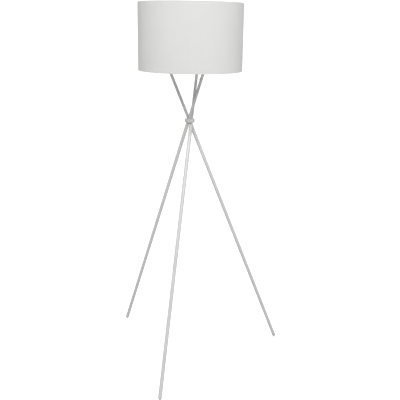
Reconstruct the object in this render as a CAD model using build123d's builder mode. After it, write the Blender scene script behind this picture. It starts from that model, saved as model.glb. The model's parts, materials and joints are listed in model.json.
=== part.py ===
from build123d import *
import math
import os

# Tripod floor lamp.  Millimetres, +Z up.  The origin is on the floor, on the lamp's upright axis.
# Three straight legs cross at a waist hub and hold a lampholder bracket inside a fabric drum shade.

# ---------------------------------------------------------------- overall sizes
lamp_height = 1620.0
foot_circle_radius = 457.0
waist_drop = 218.0
leg_azimuths = {"front": -90.0, "right": 30.0, "left": 150.0}
cable_leg = "left"

shade_diameter = 450.0
shade_height = 282.0

# ---------------------------------------------------------------- clearances
fit_gap = 0.05
face_gap = 0.1
moving_gap = 0.3

# ---------------------------------------------------------------- legs
lower_tube_diameter = 16.0
lower_tube_wall = 1.0
upper_tube_diameter = 12.7
upper_tube_wall = 1.25
tube_spacing = 1.156
nipple_wall = 1.5
nipple_reach = 24.0
hub_diameter = 44.0
hub_height = 17.0
hub_rounding = 4.0
sleeve_collar_length = 10.0
sleeve_taper_length = 7.0
sleeve_spigot_length = 22.0

# ---------------------------------------------------------------- feet
foot_pad_diameter = 8.0
foot_pad_height = 3.0
foot_pad_land = 0.4
foot_pad_stem_diameter = 5.0
foot_pad_stem_height = 5.0
foot_cap_lip = 0.4
foot_cap_collar = 7.0
foot_cap_spigot = 20.0
foot_cap_spigot_bore = 9.0

# ---------------------------------------------------------------- cable holes in the tubes
grommet_bore = 5.8
grommet_barrel_diameter = 7.4
grommet_flange_diameter = 10.4
grommet_flange_thickness = 1.4
grommet_tail = 1.6
cable_inlet_height = 75.0
lead_outlet_drop = 32.0

# ---------------------------------------------------------------- bracket on the leg tops
bracket_rise = 1.0
bracket_thickness = 3.0
bracket_arm_width = 14.0
bracket_tab_diameter = 17.0
bracket_tab_reach = 12.0
bracket_disc_diameter = 44.0
bracket_screw_diameter = 5.0
bracket_screw_head_diameter = 9.5
bracket_screw_head_height = 3.0
bracket_screw_head_rounding = 1.0
bracket_screw_length = 14.0
bracket_washer_diameter = 12.0
bracket_washer_thickness = 1.0
top_bush_length = 16.0

# ---------------------------------------------------------------- lampholder
holder_nipple_diameter = 10.0
holder_nipple_bore = 7.0
holder_nipple_tail = 9.0
holder_nipple_grip = 9.0
nut_across_flats = 14.0
nut_thickness = 4.0
nut_washer_diameter = 19.0
nut_washer_thickness = 1.2
holder_cap_height = 24.0
holder_cap_neck_diameter = 20.0
holder_cap_neck_height = 8.0
holder_cap_diameter = 38.0
holder_cap_fullness = 1.2
holder_cap_wall = 2.0
shoulder_lip = 2.0
shoulder_thickness = 3.0
holder_shell_height = 32.0
holder_shell_wall = 2.4
holder_thread_depth = 0.8
holder_thread_pitch = 3.0
insert_height = 9.0
insert_pocket_depth = 4.5
screw_shell_bore = 27.0
screw_shell_wall = 0.5
screw_shell_height = 22.0
screw_shell_clearance = 2.5
centre_contact_width = 7.0
centre_contact_thickness = 0.6
centre_contact_rise = 2.4
centre_contact_foot = 9.0
terminal_spacing = 18.0
terminal_block_size = 6.0
terminal_block_height = 8.0
terminal_screw_diameter = 3.0
terminal_screw_head_diameter = 5.0
terminal_screw_head_height = 1.5
terminal_screw_length = 6.0

# ---------------------------------------------------------------- shade ring
shade_ring_height = 10.0
shade_ring_flange_lip = 6.0
shade_ring_step = 2.0
shade_ring_flange_thickness = 2.5
shade_ring_grooves = 24
shade_ring_groove_radius = 0.9
shade_ring_thread_gap = 0.4

# ---------------------------------------------------------------- shade
fabric_thickness = 0.5
liner_thickness = 0.6
wire_diameter = 3.0
fold_height = 3.0
fitter_clearance = 1.3
fitter_band = 10.0
fitter_thickness = 2.0
spider_arm_diameter = 4.0
spider_arm_weld = 2.5

# ---------------------------------------------------------------- bulb
globe_diameter = 60.0
globe_wall = 1.0
globe_throat = 17.7
bulb_neck_diameter = 34.0
bulb_collar_start = 25.0
bulb_collar_height = 13.0
bulb_cap_clearance = 0.4
bulb_cap_thread_depth = 0.9
bulb_cap_thread_pitch = 3.6
bulb_cap_wall = 0.6
bulb_cap_start = 5.5
bulb_insulator_start = 1.0
bulb_tip_diameter = 9.0
globe_shoulder_angle = 40.0

os.makedirs("parts", exist_ok=True)


def save(piece, name):
    """Label a finished piece and write it as its own STEP file."""
    piece.part.label = name
    export_step(piece.part, f"parts/{name}.step")


# ---------------------------------------------------------------- places worked out from the sizes
lower_tube_radius = lower_tube_diameter / 2
lower_tube_bore_radius = lower_tube_radius - lower_tube_wall
upper_tube_radius = upper_tube_diameter / 2
upper_tube_bore_radius = upper_tube_radius - upper_tube_wall
nipple_radius = upper_tube_bore_radius - face_gap
nipple_bore_radius = nipple_radius - nipple_wall
foot_cap_radius = lower_tube_radius + foot_cap_lip
foot_pad_radius = foot_pad_diameter / 2
holder_nipple_radius = holder_nipple_diameter / 2

shade_bottom = lamp_height - shade_height
bracket_height = shade_bottom + bracket_rise
waist_height = bracket_height - waist_drop

# The three legs stand on the corners of a triangle, so that their tubes just clear at the waist.
leg_offset = (upper_tube_diameter + tube_spacing) / math.sqrt(3)

# The foot cap's dome is cut level over the pad, a little wider than the pad.
dome_cut_depth = math.sqrt(foot_cap_radius**2 - (foot_pad_radius + foot_pad_land) ** 2)
dome_height = foot_pad_height + face_gap + dome_cut_depth
lean = math.atan2(foot_circle_radius, waist_height - dome_height)
sin_lean = math.sin(lean)
cos_lean = math.cos(lean)


def outward(azimuth):
    """Level direction from the lamp's axis towards a foot."""
    angle = math.radians(azimuth)
    return Vector(math.cos(angle), math.sin(angle), 0)


def sideways(azimuth):
    """Level direction across a leg."""
    return outward(azimuth + 90)


def leg_plane(azimuth):
    """Plane across a leg at the waist, with its Z running up the leg and its X level."""
    up_the_leg = Vector(0, 0, cos_lean) - outward(azimuth) * sin_lean
    centre = sideways(azimuth) * leg_offset + Vector(0, 0, waist_height)
    return Plane(origin=centre, x_dir=sideways(azimuth), z_dir=up_the_leg)


def foot_point(azimuth):
    """Point on the floor under the dome of a leg's foot cap."""
    return outward(azimuth) * foot_circle_radius + sideways(azimuth) * leg_offset


leg_planes = {name: leg_plane(azimuth) for name, azimuth in leg_azimuths.items()}
all_legs = list(leg_planes.values())

# Distances along a leg are counted from the waist, up the leg.
seat = (hub_height / 2 - upper_tube_radius * sin_lean) / cos_lean
tab_underside = (bracket_height - bracket_tab_reach * sin_lean - waist_height) / cos_lean
sleeve_taper_start = -seat - sleeve_collar_length
lower_tube_top = sleeve_taper_start - sleeve_taper_length
cap_dome_centre = -(waist_height - dome_height) / cos_lean
lower_tube_bottom = cap_dome_centre + foot_cap_collar


# ---------------------------------------------------------------- waist hub
with BuildPart() as hub:
    with Locations((0, 0, waist_height)):
        Cylinder(hub_diameter / 2, hub_height)
    fillet(hub.edges().filter_by(GeomType.CIRCLE), radius=hub_rounding)
    with BuildSketch(*[leg.offset(-hub_height) for leg in all_legs]):
        Circle(nipple_radius + fit_gap)
    extrude(amount=2 * hub_height, mode=Mode.SUBTRACT)
    with BuildSketch(*[leg.offset(seat - face_gap) for leg in all_legs]):
        Circle(upper_tube_radius + face_gap)
    extrude(amount=hub_height, mode=Mode.SUBTRACT)
    with BuildSketch(*[leg.offset(-seat + face_gap) for leg in all_legs]):
        Circle(upper_tube_radius + face_gap)
    extrude(amount=-hub_height, mode=Mode.SUBTRACT)
save(hub, "waist_hub")

with BuildPart() as hub_nipples:
    with BuildSketch(*[leg.offset(-nipple_reach) for leg in all_legs]):
        Circle(nipple_radius)
        Circle(nipple_bore_radius, mode=Mode.SUBTRACT)
    extrude(amount=2 * nipple_reach)
save(hub_nipples, "hub_nipples")


# ---------------------------------------------------------------- legs, made one after another
inlet_distance = (cable_inlet_height - waist_height) / cos_lean
outlet_distance = tab_underside - lead_outlet_drop
cable_side = -sideways(leg_azimuths[cable_leg])
inlet_centre = leg_planes[cable_leg].offset(inlet_distance).origin
inlet_plane = Plane(origin=inlet_centre, x_dir=leg_planes[cable_leg].z_dir, z_dir=cable_side)
outlet_centre = leg_planes[cable_leg].offset(outlet_distance).origin
outlet_side = -leg_planes[cable_leg].y_dir
outlet_plane = Plane(origin=outlet_centre, x_dir=leg_planes[cable_leg].z_dir, z_dir=outlet_side)

for name, leg in leg_planes.items():
    with BuildPart() as upper_leg:
        with BuildSketch(leg.offset(seat)):
            Circle(upper_tube_radius)
            Circle(upper_tube_bore_radius, mode=Mode.SUBTRACT)
        extrude(amount=tab_underside - face_gap - seat)
        if name == cable_leg:
            with BuildSketch(outlet_plane):
                Circle(grommet_barrel_diameter / 2 + fit_gap)
            extrude(amount=upper_tube_diameter, mode=Mode.SUBTRACT)
    save(upper_leg, f"upper_leg_{name}")

    with BuildPart() as leg_sleeve:
        with BuildSketch(leg.offset(-seat)):
            Circle(upper_tube_radius)
        extrude(amount=-sleeve_collar_length)
        with BuildSketch(leg.offset(sleeve_taper_start)):
            Circle(upper_tube_radius)
        with BuildSketch(leg.offset(lower_tube_top)):
            Circle(lower_tube_radius)
        loft()
        with BuildSketch(leg.offset(lower_tube_top)):
            Circle(lower_tube_bore_radius - fit_gap)
        extrude(amount=-sleeve_spigot_length)
        with BuildSketch(leg.offset(lower_tube_top - sleeve_spigot_length)):
            Circle(nipple_radius + fit_gap)
        extrude(amount=sleeve_spigot_length - lower_tube_top, mode=Mode.SUBTRACT)
    save(leg_sleeve, f"leg_sleeve_{name}")

    with BuildPart() as lower_leg:
        with BuildSketch(leg.offset(lower_tube_bottom)):
            Circle(lower_tube_radius)
            Circle(lower_tube_bore_radius, mode=Mode.SUBTRACT)
        extrude(amount=lower_tube_top - face_gap - lower_tube_bottom)
        if name == cable_leg:
            with BuildSketch(inlet_plane):
                Circle(grommet_barrel_diameter / 2 + fit_gap)
            extrude(amount=lower_tube_diameter, mode=Mode.SUBTRACT)
    save(lower_leg, f"lower_leg_{name}")

    foot = foot_point(leg_azimuths[name])
    with BuildPart() as foot_cap:
        with Locations(leg.offset(cap_dome_centre)):
            Sphere(foot_cap_radius)
        with BuildSketch(leg.offset(cap_dome_centre)):
            Circle(foot_cap_radius)
        extrude(amount=foot_cap_collar - face_gap)
        with BuildSketch(leg.offset(cap_dome_centre)):
            Circle(lower_tube_bore_radius - fit_gap)
        extrude(amount=foot_cap_collar + foot_cap_spigot)
        with BuildSketch(leg.offset(lower_tube_bottom)):
            Circle(foot_cap_spigot_bore / 2)
        extrude(amount=foot_cap_spigot, mode=Mode.SUBTRACT)
        with BuildSketch(Plane.XY.offset(foot_pad_height)):
            with Locations(foot):
                Circle(foot_pad_stem_diameter / 2 + fit_gap)
        extrude(amount=foot_pad_stem_height + face_gap, mode=Mode.SUBTRACT)
        split(bisect_by=Plane.XY.offset(foot_pad_height + face_gap), keep=Keep.TOP)
    save(foot_cap, f"foot_cap_{name}")

    with BuildPart() as foot_pad:
        with BuildSketch():
            with Locations(foot):
                Circle(foot_pad_radius)
        extrude(amount=foot_pad_height)
        with BuildSketch():
            with Locations(foot):
                Circle(foot_pad_stem_diameter / 2)
        extrude(amount=foot_pad_height + foot_pad_stem_height)
    save(foot_pad, f"foot_pad_{name}")


# ---------------------------------------------------------------- rubber grommets in the cable leg
def grommet(side_plane, axis_plane, tube_radius, tube_wall):
    """A flanged rubber bush in a round hole through one wall of a tube."""
    with BuildPart() as bush:
        with BuildSketch(side_plane):
            Circle(grommet_flange_diameter / 2)
        extrude(amount=tube_radius + grommet_flange_thickness)
        with BuildSketch(axis_plane.offset(-grommet_flange_diameter)):
            Circle(tube_radius + fit_gap)
        extrude(amount=2 * grommet_flange_diameter, mode=Mode.SUBTRACT)
        with BuildSketch(side_plane.offset(tube_radius - tube_wall - grommet_tail)):
            Circle(grommet_barrel_diameter / 2)
        extrude(amount=tube_wall + grommet_tail + grommet_flange_thickness)
        with BuildSketch(side_plane):
            Circle(grommet_bore / 2)
        extrude(amount=2 * tube_radius, mode=Mode.SUBTRACT)
    return bush


cable_grommet = grommet(
    inlet_plane, leg_planes[cable_leg].offset(inlet_distance), lower_tube_radius, lower_tube_wall
)
save(cable_grommet, "cable_grommet")

lead_grommet = grommet(
    outlet_plane, leg_planes[cable_leg].offset(outlet_distance), upper_tube_radius, upper_tube_wall
)
save(lead_grommet, "lead_grommet")


# ---------------------------------------------------------------- bracket on the leg tops
tab_hole_distance = tab_underside * sin_lean
bend_distance = tab_hole_distance - bracket_tab_reach * cos_lean
tab_hole_height = waist_height + tab_underside * cos_lean
bracket_top = bracket_height + bracket_thickness
arm_planes = [
    Plane(
        origin=sideways(azimuth) * leg_offset,
        x_dir=-outward(azimuth),
        z_dir=sideways(azimuth),
    )
    for azimuth in leg_azimuths.values()
]

with BuildPart() as bracket:
    with BuildSketch(*arm_planes):
        with BuildLine():
            Polyline(
                (0, bracket_height),
                (bend_distance, bracket_height),
                (tab_hole_distance, tab_hole_height),
                (
                    tab_hole_distance + bracket_thickness * sin_lean,
                    tab_hole_height + bracket_thickness * cos_lean,
                ),
                (bend_distance + bracket_thickness * math.tan(lean / 2), bracket_top),
                (0, bracket_top),
                close=True,
            )
        make_face()
    extrude(amount=bracket_arm_width / 2, both=True)
    with BuildSketch(*[leg.offset(tab_underside) for leg in all_legs]):
        Circle(bracket_tab_diameter / 2)
    extrude(amount=bracket_thickness)
    with BuildSketch(Plane.XY.offset(bracket_height)):
        Circle(bracket_disc_diameter / 2)
    extrude(amount=bracket_thickness)
    with BuildSketch(*[leg.offset(tab_underside - bracket_thickness) for leg in all_legs]):
        Circle(bracket_screw_diameter / 2 + face_gap)
    extrude(amount=3 * bracket_thickness, mode=Mode.SUBTRACT)
    with BuildSketch(Plane.XY.offset(bracket_height)):
        Circle(holder_nipple_radius + face_gap)
    extrude(amount=bracket_thickness, mode=Mode.SUBTRACT)
save(bracket, "top_bracket")

with BuildPart() as top_bushes:
    with BuildSketch(*[leg.offset(tab_underside - face_gap) for leg in all_legs]):
        Circle(upper_tube_bore_radius - fit_gap)
        Circle(bracket_screw_diameter / 2 + fit_gap, mode=Mode.SUBTRACT)
    extrude(amount=-top_bush_length)
save(top_bushes, "top_bushes")

washer_seat = tab_underside + bracket_thickness + face_gap
with BuildPart() as bracket_washers:
    with BuildSketch(*[leg.offset(washer_seat) for leg in all_legs]):
        Circle(bracket_washer_diameter / 2)
        Circle(bracket_screw_diameter / 2 + face_gap, mode=Mode.SUBTRACT)
    extrude(amount=bracket_washer_thickness)
save(bracket_washers, "bracket_washers")

head_seat = washer_seat + bracket_washer_thickness + face_gap
with BuildPart() as bracket_screws:
    with BuildSketch(*[leg.offset(head_seat) for leg in all_legs]):
        Circle(bracket_screw_head_diameter / 2)
    extrude(amount=bracket_screw_head_height)
    fillet(
        bracket_screws.edges().filter_by(GeomType.CIRCLE).group_by(Axis.Z)[-1],
        radius=bracket_screw_head_rounding,
    )
    with BuildSketch(*[leg.offset(head_seat) for leg in all_legs]):
        Circle(bracket_screw_diameter / 2)
    extrude(amount=-bracket_screw_length)
save(bracket_screws, "bracket_screws")


# ---------------------------------------------------------------- lampholder on its nipple
def turned(low, high, outer_radius, inner_radius):
    """A plain ring or tube on the lamp's axis between two heights."""
    with BuildPart() as body:
        with BuildSketch(Plane.XY.offset(low)):
            Circle(outer_radius)
            if inner_radius > 0:
                Circle(inner_radius, mode=Mode.SUBTRACT)
        extrude(amount=high - low)
    return body


cap_bottom = bracket_top + face_gap
cap_top = cap_bottom + holder_cap_height
shell_bottom = cap_top + face_gap
shell_top = shell_bottom + holder_shell_height
shoulder_top = shell_bottom + shoulder_thickness
screw_shell_radius = screw_shell_bore / 2 + screw_shell_wall
shell_bore_radius = screw_shell_radius + screw_shell_clearance
thread_root_radius = shell_bore_radius + holder_shell_wall
thread_radius = thread_root_radius + holder_thread_depth
fitter_bore_radius = thread_radius + fitter_clearance
shoulder_radius = fitter_bore_radius + shoulder_lip

holder_nipple = turned(
    bracket_height - holder_nipple_tail,
    cap_bottom + holder_nipple_grip,
    holder_nipple_radius,
    holder_nipple_bore / 2,
)
save(holder_nipple, "holder_nipple")

nut_washer_top = bracket_height - face_gap
nut_washer = turned(
    nut_washer_top - nut_washer_thickness,
    nut_washer_top,
    nut_washer_diameter / 2,
    holder_nipple_radius + face_gap,
)
save(nut_washer, "nut_washer")

nut_top = nut_washer_top - nut_washer_thickness - face_gap
with BuildPart() as holder_nut:
    with BuildSketch(Plane.XY.offset(nut_top)):
        RegularPolygon(nut_across_flats / 2, 6, major_radius=False)
        Circle(holder_nipple_radius + fit_gap, mode=Mode.SUBTRACT)
    extrude(amount=-nut_thickness)
save(holder_nut, "holder_nut")

# The cap is a thin bell: a straight neck round the nipple that flares out to the shell.
flare_radius = (holder_cap_height - holder_cap_neck_height) * holder_cap_fullness
flare_bottom = cap_bottom + holder_cap_neck_height
neck_point = (holder_cap_neck_diameter / 2, flare_bottom)
rim_point = (holder_cap_diameter / 2, cap_top)
inner_rim_point = (holder_cap_diameter / 2 - holder_cap_wall, cap_top)
inner_neck_point = (holder_cap_neck_diameter / 2 - holder_cap_wall, flare_bottom + holder_cap_wall)
bore_radius = holder_nipple_radius + fit_gap
with BuildPart() as holder_cap:
    with BuildSketch(Plane.XZ):
        with BuildLine():
            Polyline((bore_radius, cap_bottom), (holder_cap_neck_diameter / 2, cap_bottom), neck_point)
            RadiusArc(neck_point, rim_point, -flare_radius)
            Line(rim_point, inner_rim_point)
            RadiusArc(inner_rim_point, inner_neck_point, flare_radius)
            Polyline(
                inner_neck_point,
                (bore_radius, flare_bottom + holder_cap_wall),
                (bore_radius, cap_bottom),
            )
        make_face()
    revolve(axis=Axis.Z)
save(holder_cap, "holder_cap")

thread_start = shoulder_top + holder_thread_pitch
thread_turns = int((shell_top - thread_start) / holder_thread_pitch)
with BuildPart() as holder_shell:
    with BuildSketch(Plane.XY.offset(shell_bottom)):
        Circle(shoulder_radius)
    extrude(amount=shoulder_thickness)
    with BuildSketch(Plane.XY.offset(shell_bottom)):
        Circle(thread_root_radius)
    extrude(amount=holder_shell_height)
    with Locations(*[(0, 0, thread_start + turn * holder_thread_pitch) for turn in range(thread_turns)]):
        Cylinder(thread_radius, holder_thread_pitch / 2)
    with BuildSketch(Plane.XY.offset(shell_bottom)):
        Circle(shell_bore_radius)
    extrude(amount=holder_shell_height, mode=Mode.SUBTRACT)
save(holder_shell, "holder_shell")

insert_bottom = shell_bottom
insert_top = insert_bottom + insert_height
terminal_places = [(terminal_spacing / 2, 0), (-terminal_spacing / 2, 0)]
with BuildPart() as holder_insert:
    with BuildSketch(Plane.XY.offset(insert_bottom)):
        Circle(shell_bore_radius - fit_gap)
    extrude(amount=insert_height)
    with BuildSketch(Plane.XY.offset(insert_bottom)):
        with Locations(*terminal_places):
            Rectangle(terminal_block_size + 2 * fit_gap, terminal_block_size + 2 * fit_gap)
    extrude(amount=insert_pocket_depth, mode=Mode.SUBTRACT)
save(holder_insert, "holder_insert")

block_top = insert_bottom + insert_pocket_depth - face_gap
block_bottom = block_top - terminal_block_height
with BuildPart() as terminal_blocks:
    with BuildSketch(Plane.XY.offset(block_bottom)):
        with Locations(*terminal_places):
            Rectangle(terminal_block_size, terminal_block_size)
            Circle(terminal_screw_diameter / 2 + fit_gap, mode=Mode.SUBTRACT)
    extrude(amount=terminal_block_height)
save(terminal_blocks, "terminal_blocks")

with BuildPart() as terminal_screws:
    with BuildSketch(Plane.XY.offset(block_bottom - face_gap)):
        with Locations(*terminal_places):
            Circle(terminal_screw_head_diameter / 2)
    extrude(amount=-terminal_screw_head_height)
    with BuildSketch(Plane.XY.offset(block_bottom - face_gap)):
        with Locations(*terminal_places):
            Circle(terminal_screw_diameter / 2)
    extrude(amount=terminal_screw_length)
save(terminal_screws, "terminal_screws")

screw_shell = turned(
    insert_top + face_gap,
    insert_top + face_gap + screw_shell_height,
    screw_shell_radius,
    screw_shell_bore / 2,
)
save(screw_shell, "screw_shell")

contact_bottom = insert_top + face_gap
contact_top = contact_bottom + centre_contact_rise
with BuildPart() as centre_contact:
    with BuildSketch(Plane.XZ):
        with BuildLine():
            Polyline(
                (-centre_contact_foot, contact_bottom + centre_contact_thickness / 2),
                (-centre_contact_width / 2, contact_bottom + centre_contact_thickness / 2),
                (0, contact_top - centre_contact_thickness / 2),
                (centre_contact_width / 2, contact_top - centre_contact_thickness / 2),
            )
        trace(line_width=centre_contact_thickness)
    extrude(amount=centre_contact_width / 2, both=True)
save(centre_contact, "centre_contact")

# ---------------------------------------------------------------- shade ring, screwed on the holder shell
fitter_bottom = shoulder_top + moving_gap
fitter_top = fitter_bottom + fitter_thickness
ring_bottom = fitter_top + moving_gap
ring_flange_radius = fitter_bore_radius + shade_ring_flange_lip
ring_grip_radius = ring_flange_radius - shade_ring_step
with BuildPart() as shade_ring:
    with BuildSketch(Plane.XY.offset(ring_bottom)):
        Circle(ring_flange_radius)
    extrude(amount=shade_ring_flange_thickness)
    with BuildSketch(Plane.XY.offset(ring_bottom)):
        Circle(ring_grip_radius)
        with PolarLocations(ring_grip_radius, shade_ring_grooves):
            Circle(shade_ring_groove_radius, mode=Mode.SUBTRACT)
    extrude(amount=shade_ring_height)
    with BuildSketch(Plane.XY.offset(ring_bottom)):
        Circle(thread_radius + shade_ring_thread_gap)
    extrude(amount=shade_ring_height, mode=Mode.SUBTRACT)
save(shade_ring, "shade_ring")


# ---------------------------------------------------------------- drum shade
shade_radius = shade_diameter / 2
wire_radius = wire_diameter / 2
liner_radius = shade_radius - fabric_thickness - face_gap
wire_circle_radius = liner_radius - liner_thickness - face_gap - wire_radius
wire_height = shade_bottom + fabric_thickness + face_gap + wire_radius
fold_radius = wire_circle_radius - wire_radius - face_gap

with BuildPart() as shade_fabric:
    with BuildSketch(Plane.XZ):
        with Locations((shade_radius, shade_bottom)):
            Rectangle(fabric_thickness, shade_height, align=(Align.MAX, Align.MIN))
        with Locations((shade_radius, shade_bottom)):
            Rectangle(shade_radius - fold_radius, fabric_thickness, align=(Align.MAX, Align.MIN))
        with Locations((fold_radius, shade_bottom)):
            Rectangle(fabric_thickness, fold_height, align=(Align.MAX, Align.MIN))
        with Locations((fold_radius, shade_bottom)):
            Rectangle(fabric_thickness, fabric_thickness, align=(Align.MAX, Align.MIN))
        with Locations((shade_radius, lamp_height)):
            Rectangle(shade_radius - fold_radius, fabric_thickness, align=(Align.MAX, Align.MAX))
        with Locations((fold_radius, lamp_height)):
            Rectangle(fabric_thickness, fold_height, align=(Align.MAX, Align.MAX))
    revolve(axis=Axis.Z)
save(shade_fabric, "shade_fabric")

liner_end = fabric_thickness + face_gap
shade_liner = turned(
    shade_bottom + liner_end, lamp_height - liner_end, liner_radius, liner_radius - liner_thickness
)
save(shade_liner, "shade_liner")


def ring_wire(height):
    """A round wire ring inside one edge of the shade."""
    with BuildPart() as wire:
        with Locations((0, 0, height)):
            Torus(wire_circle_radius, wire_radius)
    return wire


bottom_wire = ring_wire(wire_height)
save(bottom_wire, "shade_bottom_wire")
top_wire = ring_wire(lamp_height - (wire_height - shade_bottom))
save(top_wire, "shade_top_wire")

fitter_radius = fitter_bore_radius + fitter_band
spider_arm_radius = spider_arm_diameter / 2
arm_start_radius = fitter_radius - spider_arm_weld
arm_start_height = fitter_bottom + fitter_thickness / 2
arm_end_height = wire_height + wire_radius + face_gap + spider_arm_radius
arm_drop = arm_start_height - arm_end_height
arm_run = wire_circle_radius - arm_start_radius
spider_arm_planes = [
    Plane(
        origin=outward(azimuth) * arm_start_radius + Vector(0, 0, arm_start_height),
        z_dir=outward(azimuth) * arm_run - Vector(0, 0, arm_drop),
    )
    for azimuth in leg_azimuths.values()
]
with BuildPart() as spider:
    with BuildSketch(Plane.XY.offset(fitter_bottom)):
        Circle(fitter_radius)
        Circle(fitter_bore_radius, mode=Mode.SUBTRACT)
    extrude(amount=fitter_thickness)
    with BuildSketch(*spider_arm_planes):
        Circle(spider_arm_radius)
    extrude(amount=math.hypot(arm_run, arm_drop))
save(spider, "shade_spider")


# ---------------------------------------------------------------- bulb
bulb_tip = contact_top + moving_gap
globe_radius = globe_diameter / 2
neck_radius = bulb_neck_diameter / 2
shoulder_angle = math.radians(globe_shoulder_angle)
collar_bottom = bulb_tip + bulb_collar_start
neck_height = collar_bottom + bulb_collar_height
globe_centre = neck_height + globe_throat + globe_radius * math.sin(shoulder_angle)
cap_thread_radius = screw_shell_bore / 2 - bulb_cap_clearance
cap_root_radius = cap_thread_radius - bulb_cap_thread_depth
cap_thread_bottom = bulb_tip + bulb_cap_start


def globe_section(inset):
    """Half section of the glass, drawn in from its outside by the inset."""
    radius = globe_radius - inset
    shoulder = (radius * math.cos(shoulder_angle), globe_centre - radius * math.sin(shoulder_angle))
    with BuildSketch(Plane.XZ) as section:
        with BuildLine():
            ThreePointArc((0, globe_centre + radius), (radius, globe_centre), shoulder)
            Spline(
                shoulder,
                (neck_radius - inset, neck_height),
                tangents=((-math.sin(shoulder_angle), -math.cos(shoulder_angle)), (0, -1)),
            )
            Polyline((neck_radius - inset, neck_height), (0, neck_height), (0, globe_centre + radius))
        make_face()
    return section.sketch


with BuildPart() as bulb_globe:
    revolve(globe_section(0), axis=Axis.Z)
    revolve(globe_section(globe_wall), axis=Axis.Z, mode=Mode.SUBTRACT)
save(bulb_globe, "bulb_globe")

with BuildPart() as bulb_collar:
    with BuildSketch(Plane.XY.offset(collar_bottom)):
        Circle(cap_thread_radius + globe_wall)
    with BuildSketch(Plane.XY.offset(neck_height - face_gap)):
        Circle(neck_radius)
    loft()
save(bulb_collar, "bulb_collar")

cap_top_height = collar_bottom - face_gap
cap_turns = int((cap_top_height - cap_thread_bottom) / bulb_cap_thread_pitch)
first_ridge = cap_thread_bottom + bulb_cap_thread_pitch / 2
with BuildPart() as bulb_cap:
    with BuildSketch(Plane.XY.offset(cap_thread_bottom)):
        Circle(cap_root_radius)
    extrude(amount=cap_top_height - cap_thread_bottom)
    with Locations(*[(0, 0, first_ridge + turn * bulb_cap_thread_pitch) for turn in range(cap_turns)]):
        Cylinder(cap_thread_radius, bulb_cap_thread_pitch / 2)
    with BuildSketch(Plane.XY.offset(cap_thread_bottom)):
        Circle(cap_root_radius - bulb_cap_wall)
    extrude(amount=cap_top_height - cap_thread_bottom, mode=Mode.SUBTRACT)
save(bulb_cap, "bulb_cap")

with BuildPart() as bulb_insulator:
    with BuildSketch(Plane.XY.offset(bulb_tip + bulb_insulator_start + face_gap)):
        Circle(bulb_tip_diameter / 2)
    with BuildSketch(Plane.XY.offset(cap_thread_bottom - face_gap)):
        Circle(cap_root_radius)
    loft()
save(bulb_insulator, "bulb_insulator")

bulb_tip_contact = turned(bulb_tip, bulb_tip + bulb_insulator_start, bulb_tip_diameter / 2, 0)
save(bulb_tip_contact, "bulb_tip_contact")
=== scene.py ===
import json
import math
import bmesh
import bpy
from mathutils import Matrix, Vector
from mathutils.geometry import delaunay_2d_cdt


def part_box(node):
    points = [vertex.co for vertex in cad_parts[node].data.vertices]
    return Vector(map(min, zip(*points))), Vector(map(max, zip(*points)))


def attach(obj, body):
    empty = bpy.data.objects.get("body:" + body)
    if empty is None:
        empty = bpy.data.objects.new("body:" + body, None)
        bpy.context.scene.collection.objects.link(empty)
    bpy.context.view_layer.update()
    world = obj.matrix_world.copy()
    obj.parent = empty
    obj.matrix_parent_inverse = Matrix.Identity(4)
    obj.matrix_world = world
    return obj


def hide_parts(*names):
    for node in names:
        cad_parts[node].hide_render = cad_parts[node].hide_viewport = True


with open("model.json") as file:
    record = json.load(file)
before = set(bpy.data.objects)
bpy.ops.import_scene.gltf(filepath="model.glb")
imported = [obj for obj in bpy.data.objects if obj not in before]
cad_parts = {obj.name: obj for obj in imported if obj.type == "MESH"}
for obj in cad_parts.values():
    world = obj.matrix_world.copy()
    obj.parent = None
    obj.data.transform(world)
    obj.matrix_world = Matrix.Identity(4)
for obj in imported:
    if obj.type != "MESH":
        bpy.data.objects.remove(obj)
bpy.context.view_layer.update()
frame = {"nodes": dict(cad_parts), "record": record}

# ------------------------------------------------------------------ sizes read from the frame, in metres
MM = 0.001
mounts = {mount["name"]: mount for mount in frame["record"]["mounts"]}
LEG_TURNS = {"front": 0.0, "right": 120.0, "left": 240.0}
CABLE_LEG = "left"


def span(node):
    """Bottom, top and outer radius of a round piece that stands upright."""
    low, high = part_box(node)
    return low.z, high.z, (high.x - low.x) / 2


foot = Vector(mounts["rest_front"]["pos_m"])
leg_offset = foot.x
hub_low, hub_high, hub_radius = span("waist_hub")
waist = (hub_low + hub_high) / 2
upper_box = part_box("upper_leg_front")
lower_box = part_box("lower_leg_front")
rise = upper_box[0] + upper_box[1] - lower_box[0] - lower_box[1]
lean = math.atan2(rise.y, rise.z)
sin_lean = math.sin(lean)
cos_lean = math.cos(lean)
leg_up = Vector((0.0, sin_lean, cos_lean))
leg_across = Vector((1.0, 0.0, 0.0))
leg_place = Matrix.Translation((leg_offset, 0.0, waist)) @ Matrix(
    (leg_across, leg_up.cross(leg_across), leg_up)
).transposed().to_4x4()


def leg_span(node):
    """Radius of a front leg tube, and where it starts and ends along the leg from the waist."""
    low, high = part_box(node)
    radius = (high.x - low.x) / 2
    start = (low.z - waist + radius * sin_lean) / cos_lean
    end = (high.z - waist - radius * sin_lean) / cos_lean
    return radius, start, end


upper_radius, upper_start, upper_end = leg_span("upper_leg_front")
lower_radius, lower_start, lower_end = leg_span("lower_leg_front")
UPPER_WALL = 1.25 * MM
LOWER_WALL = 1.0 * MM
FACE_GAP = 0.1 * MM
plug_radius = lower_radius - LOWER_WALL - FACE_GAP


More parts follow.
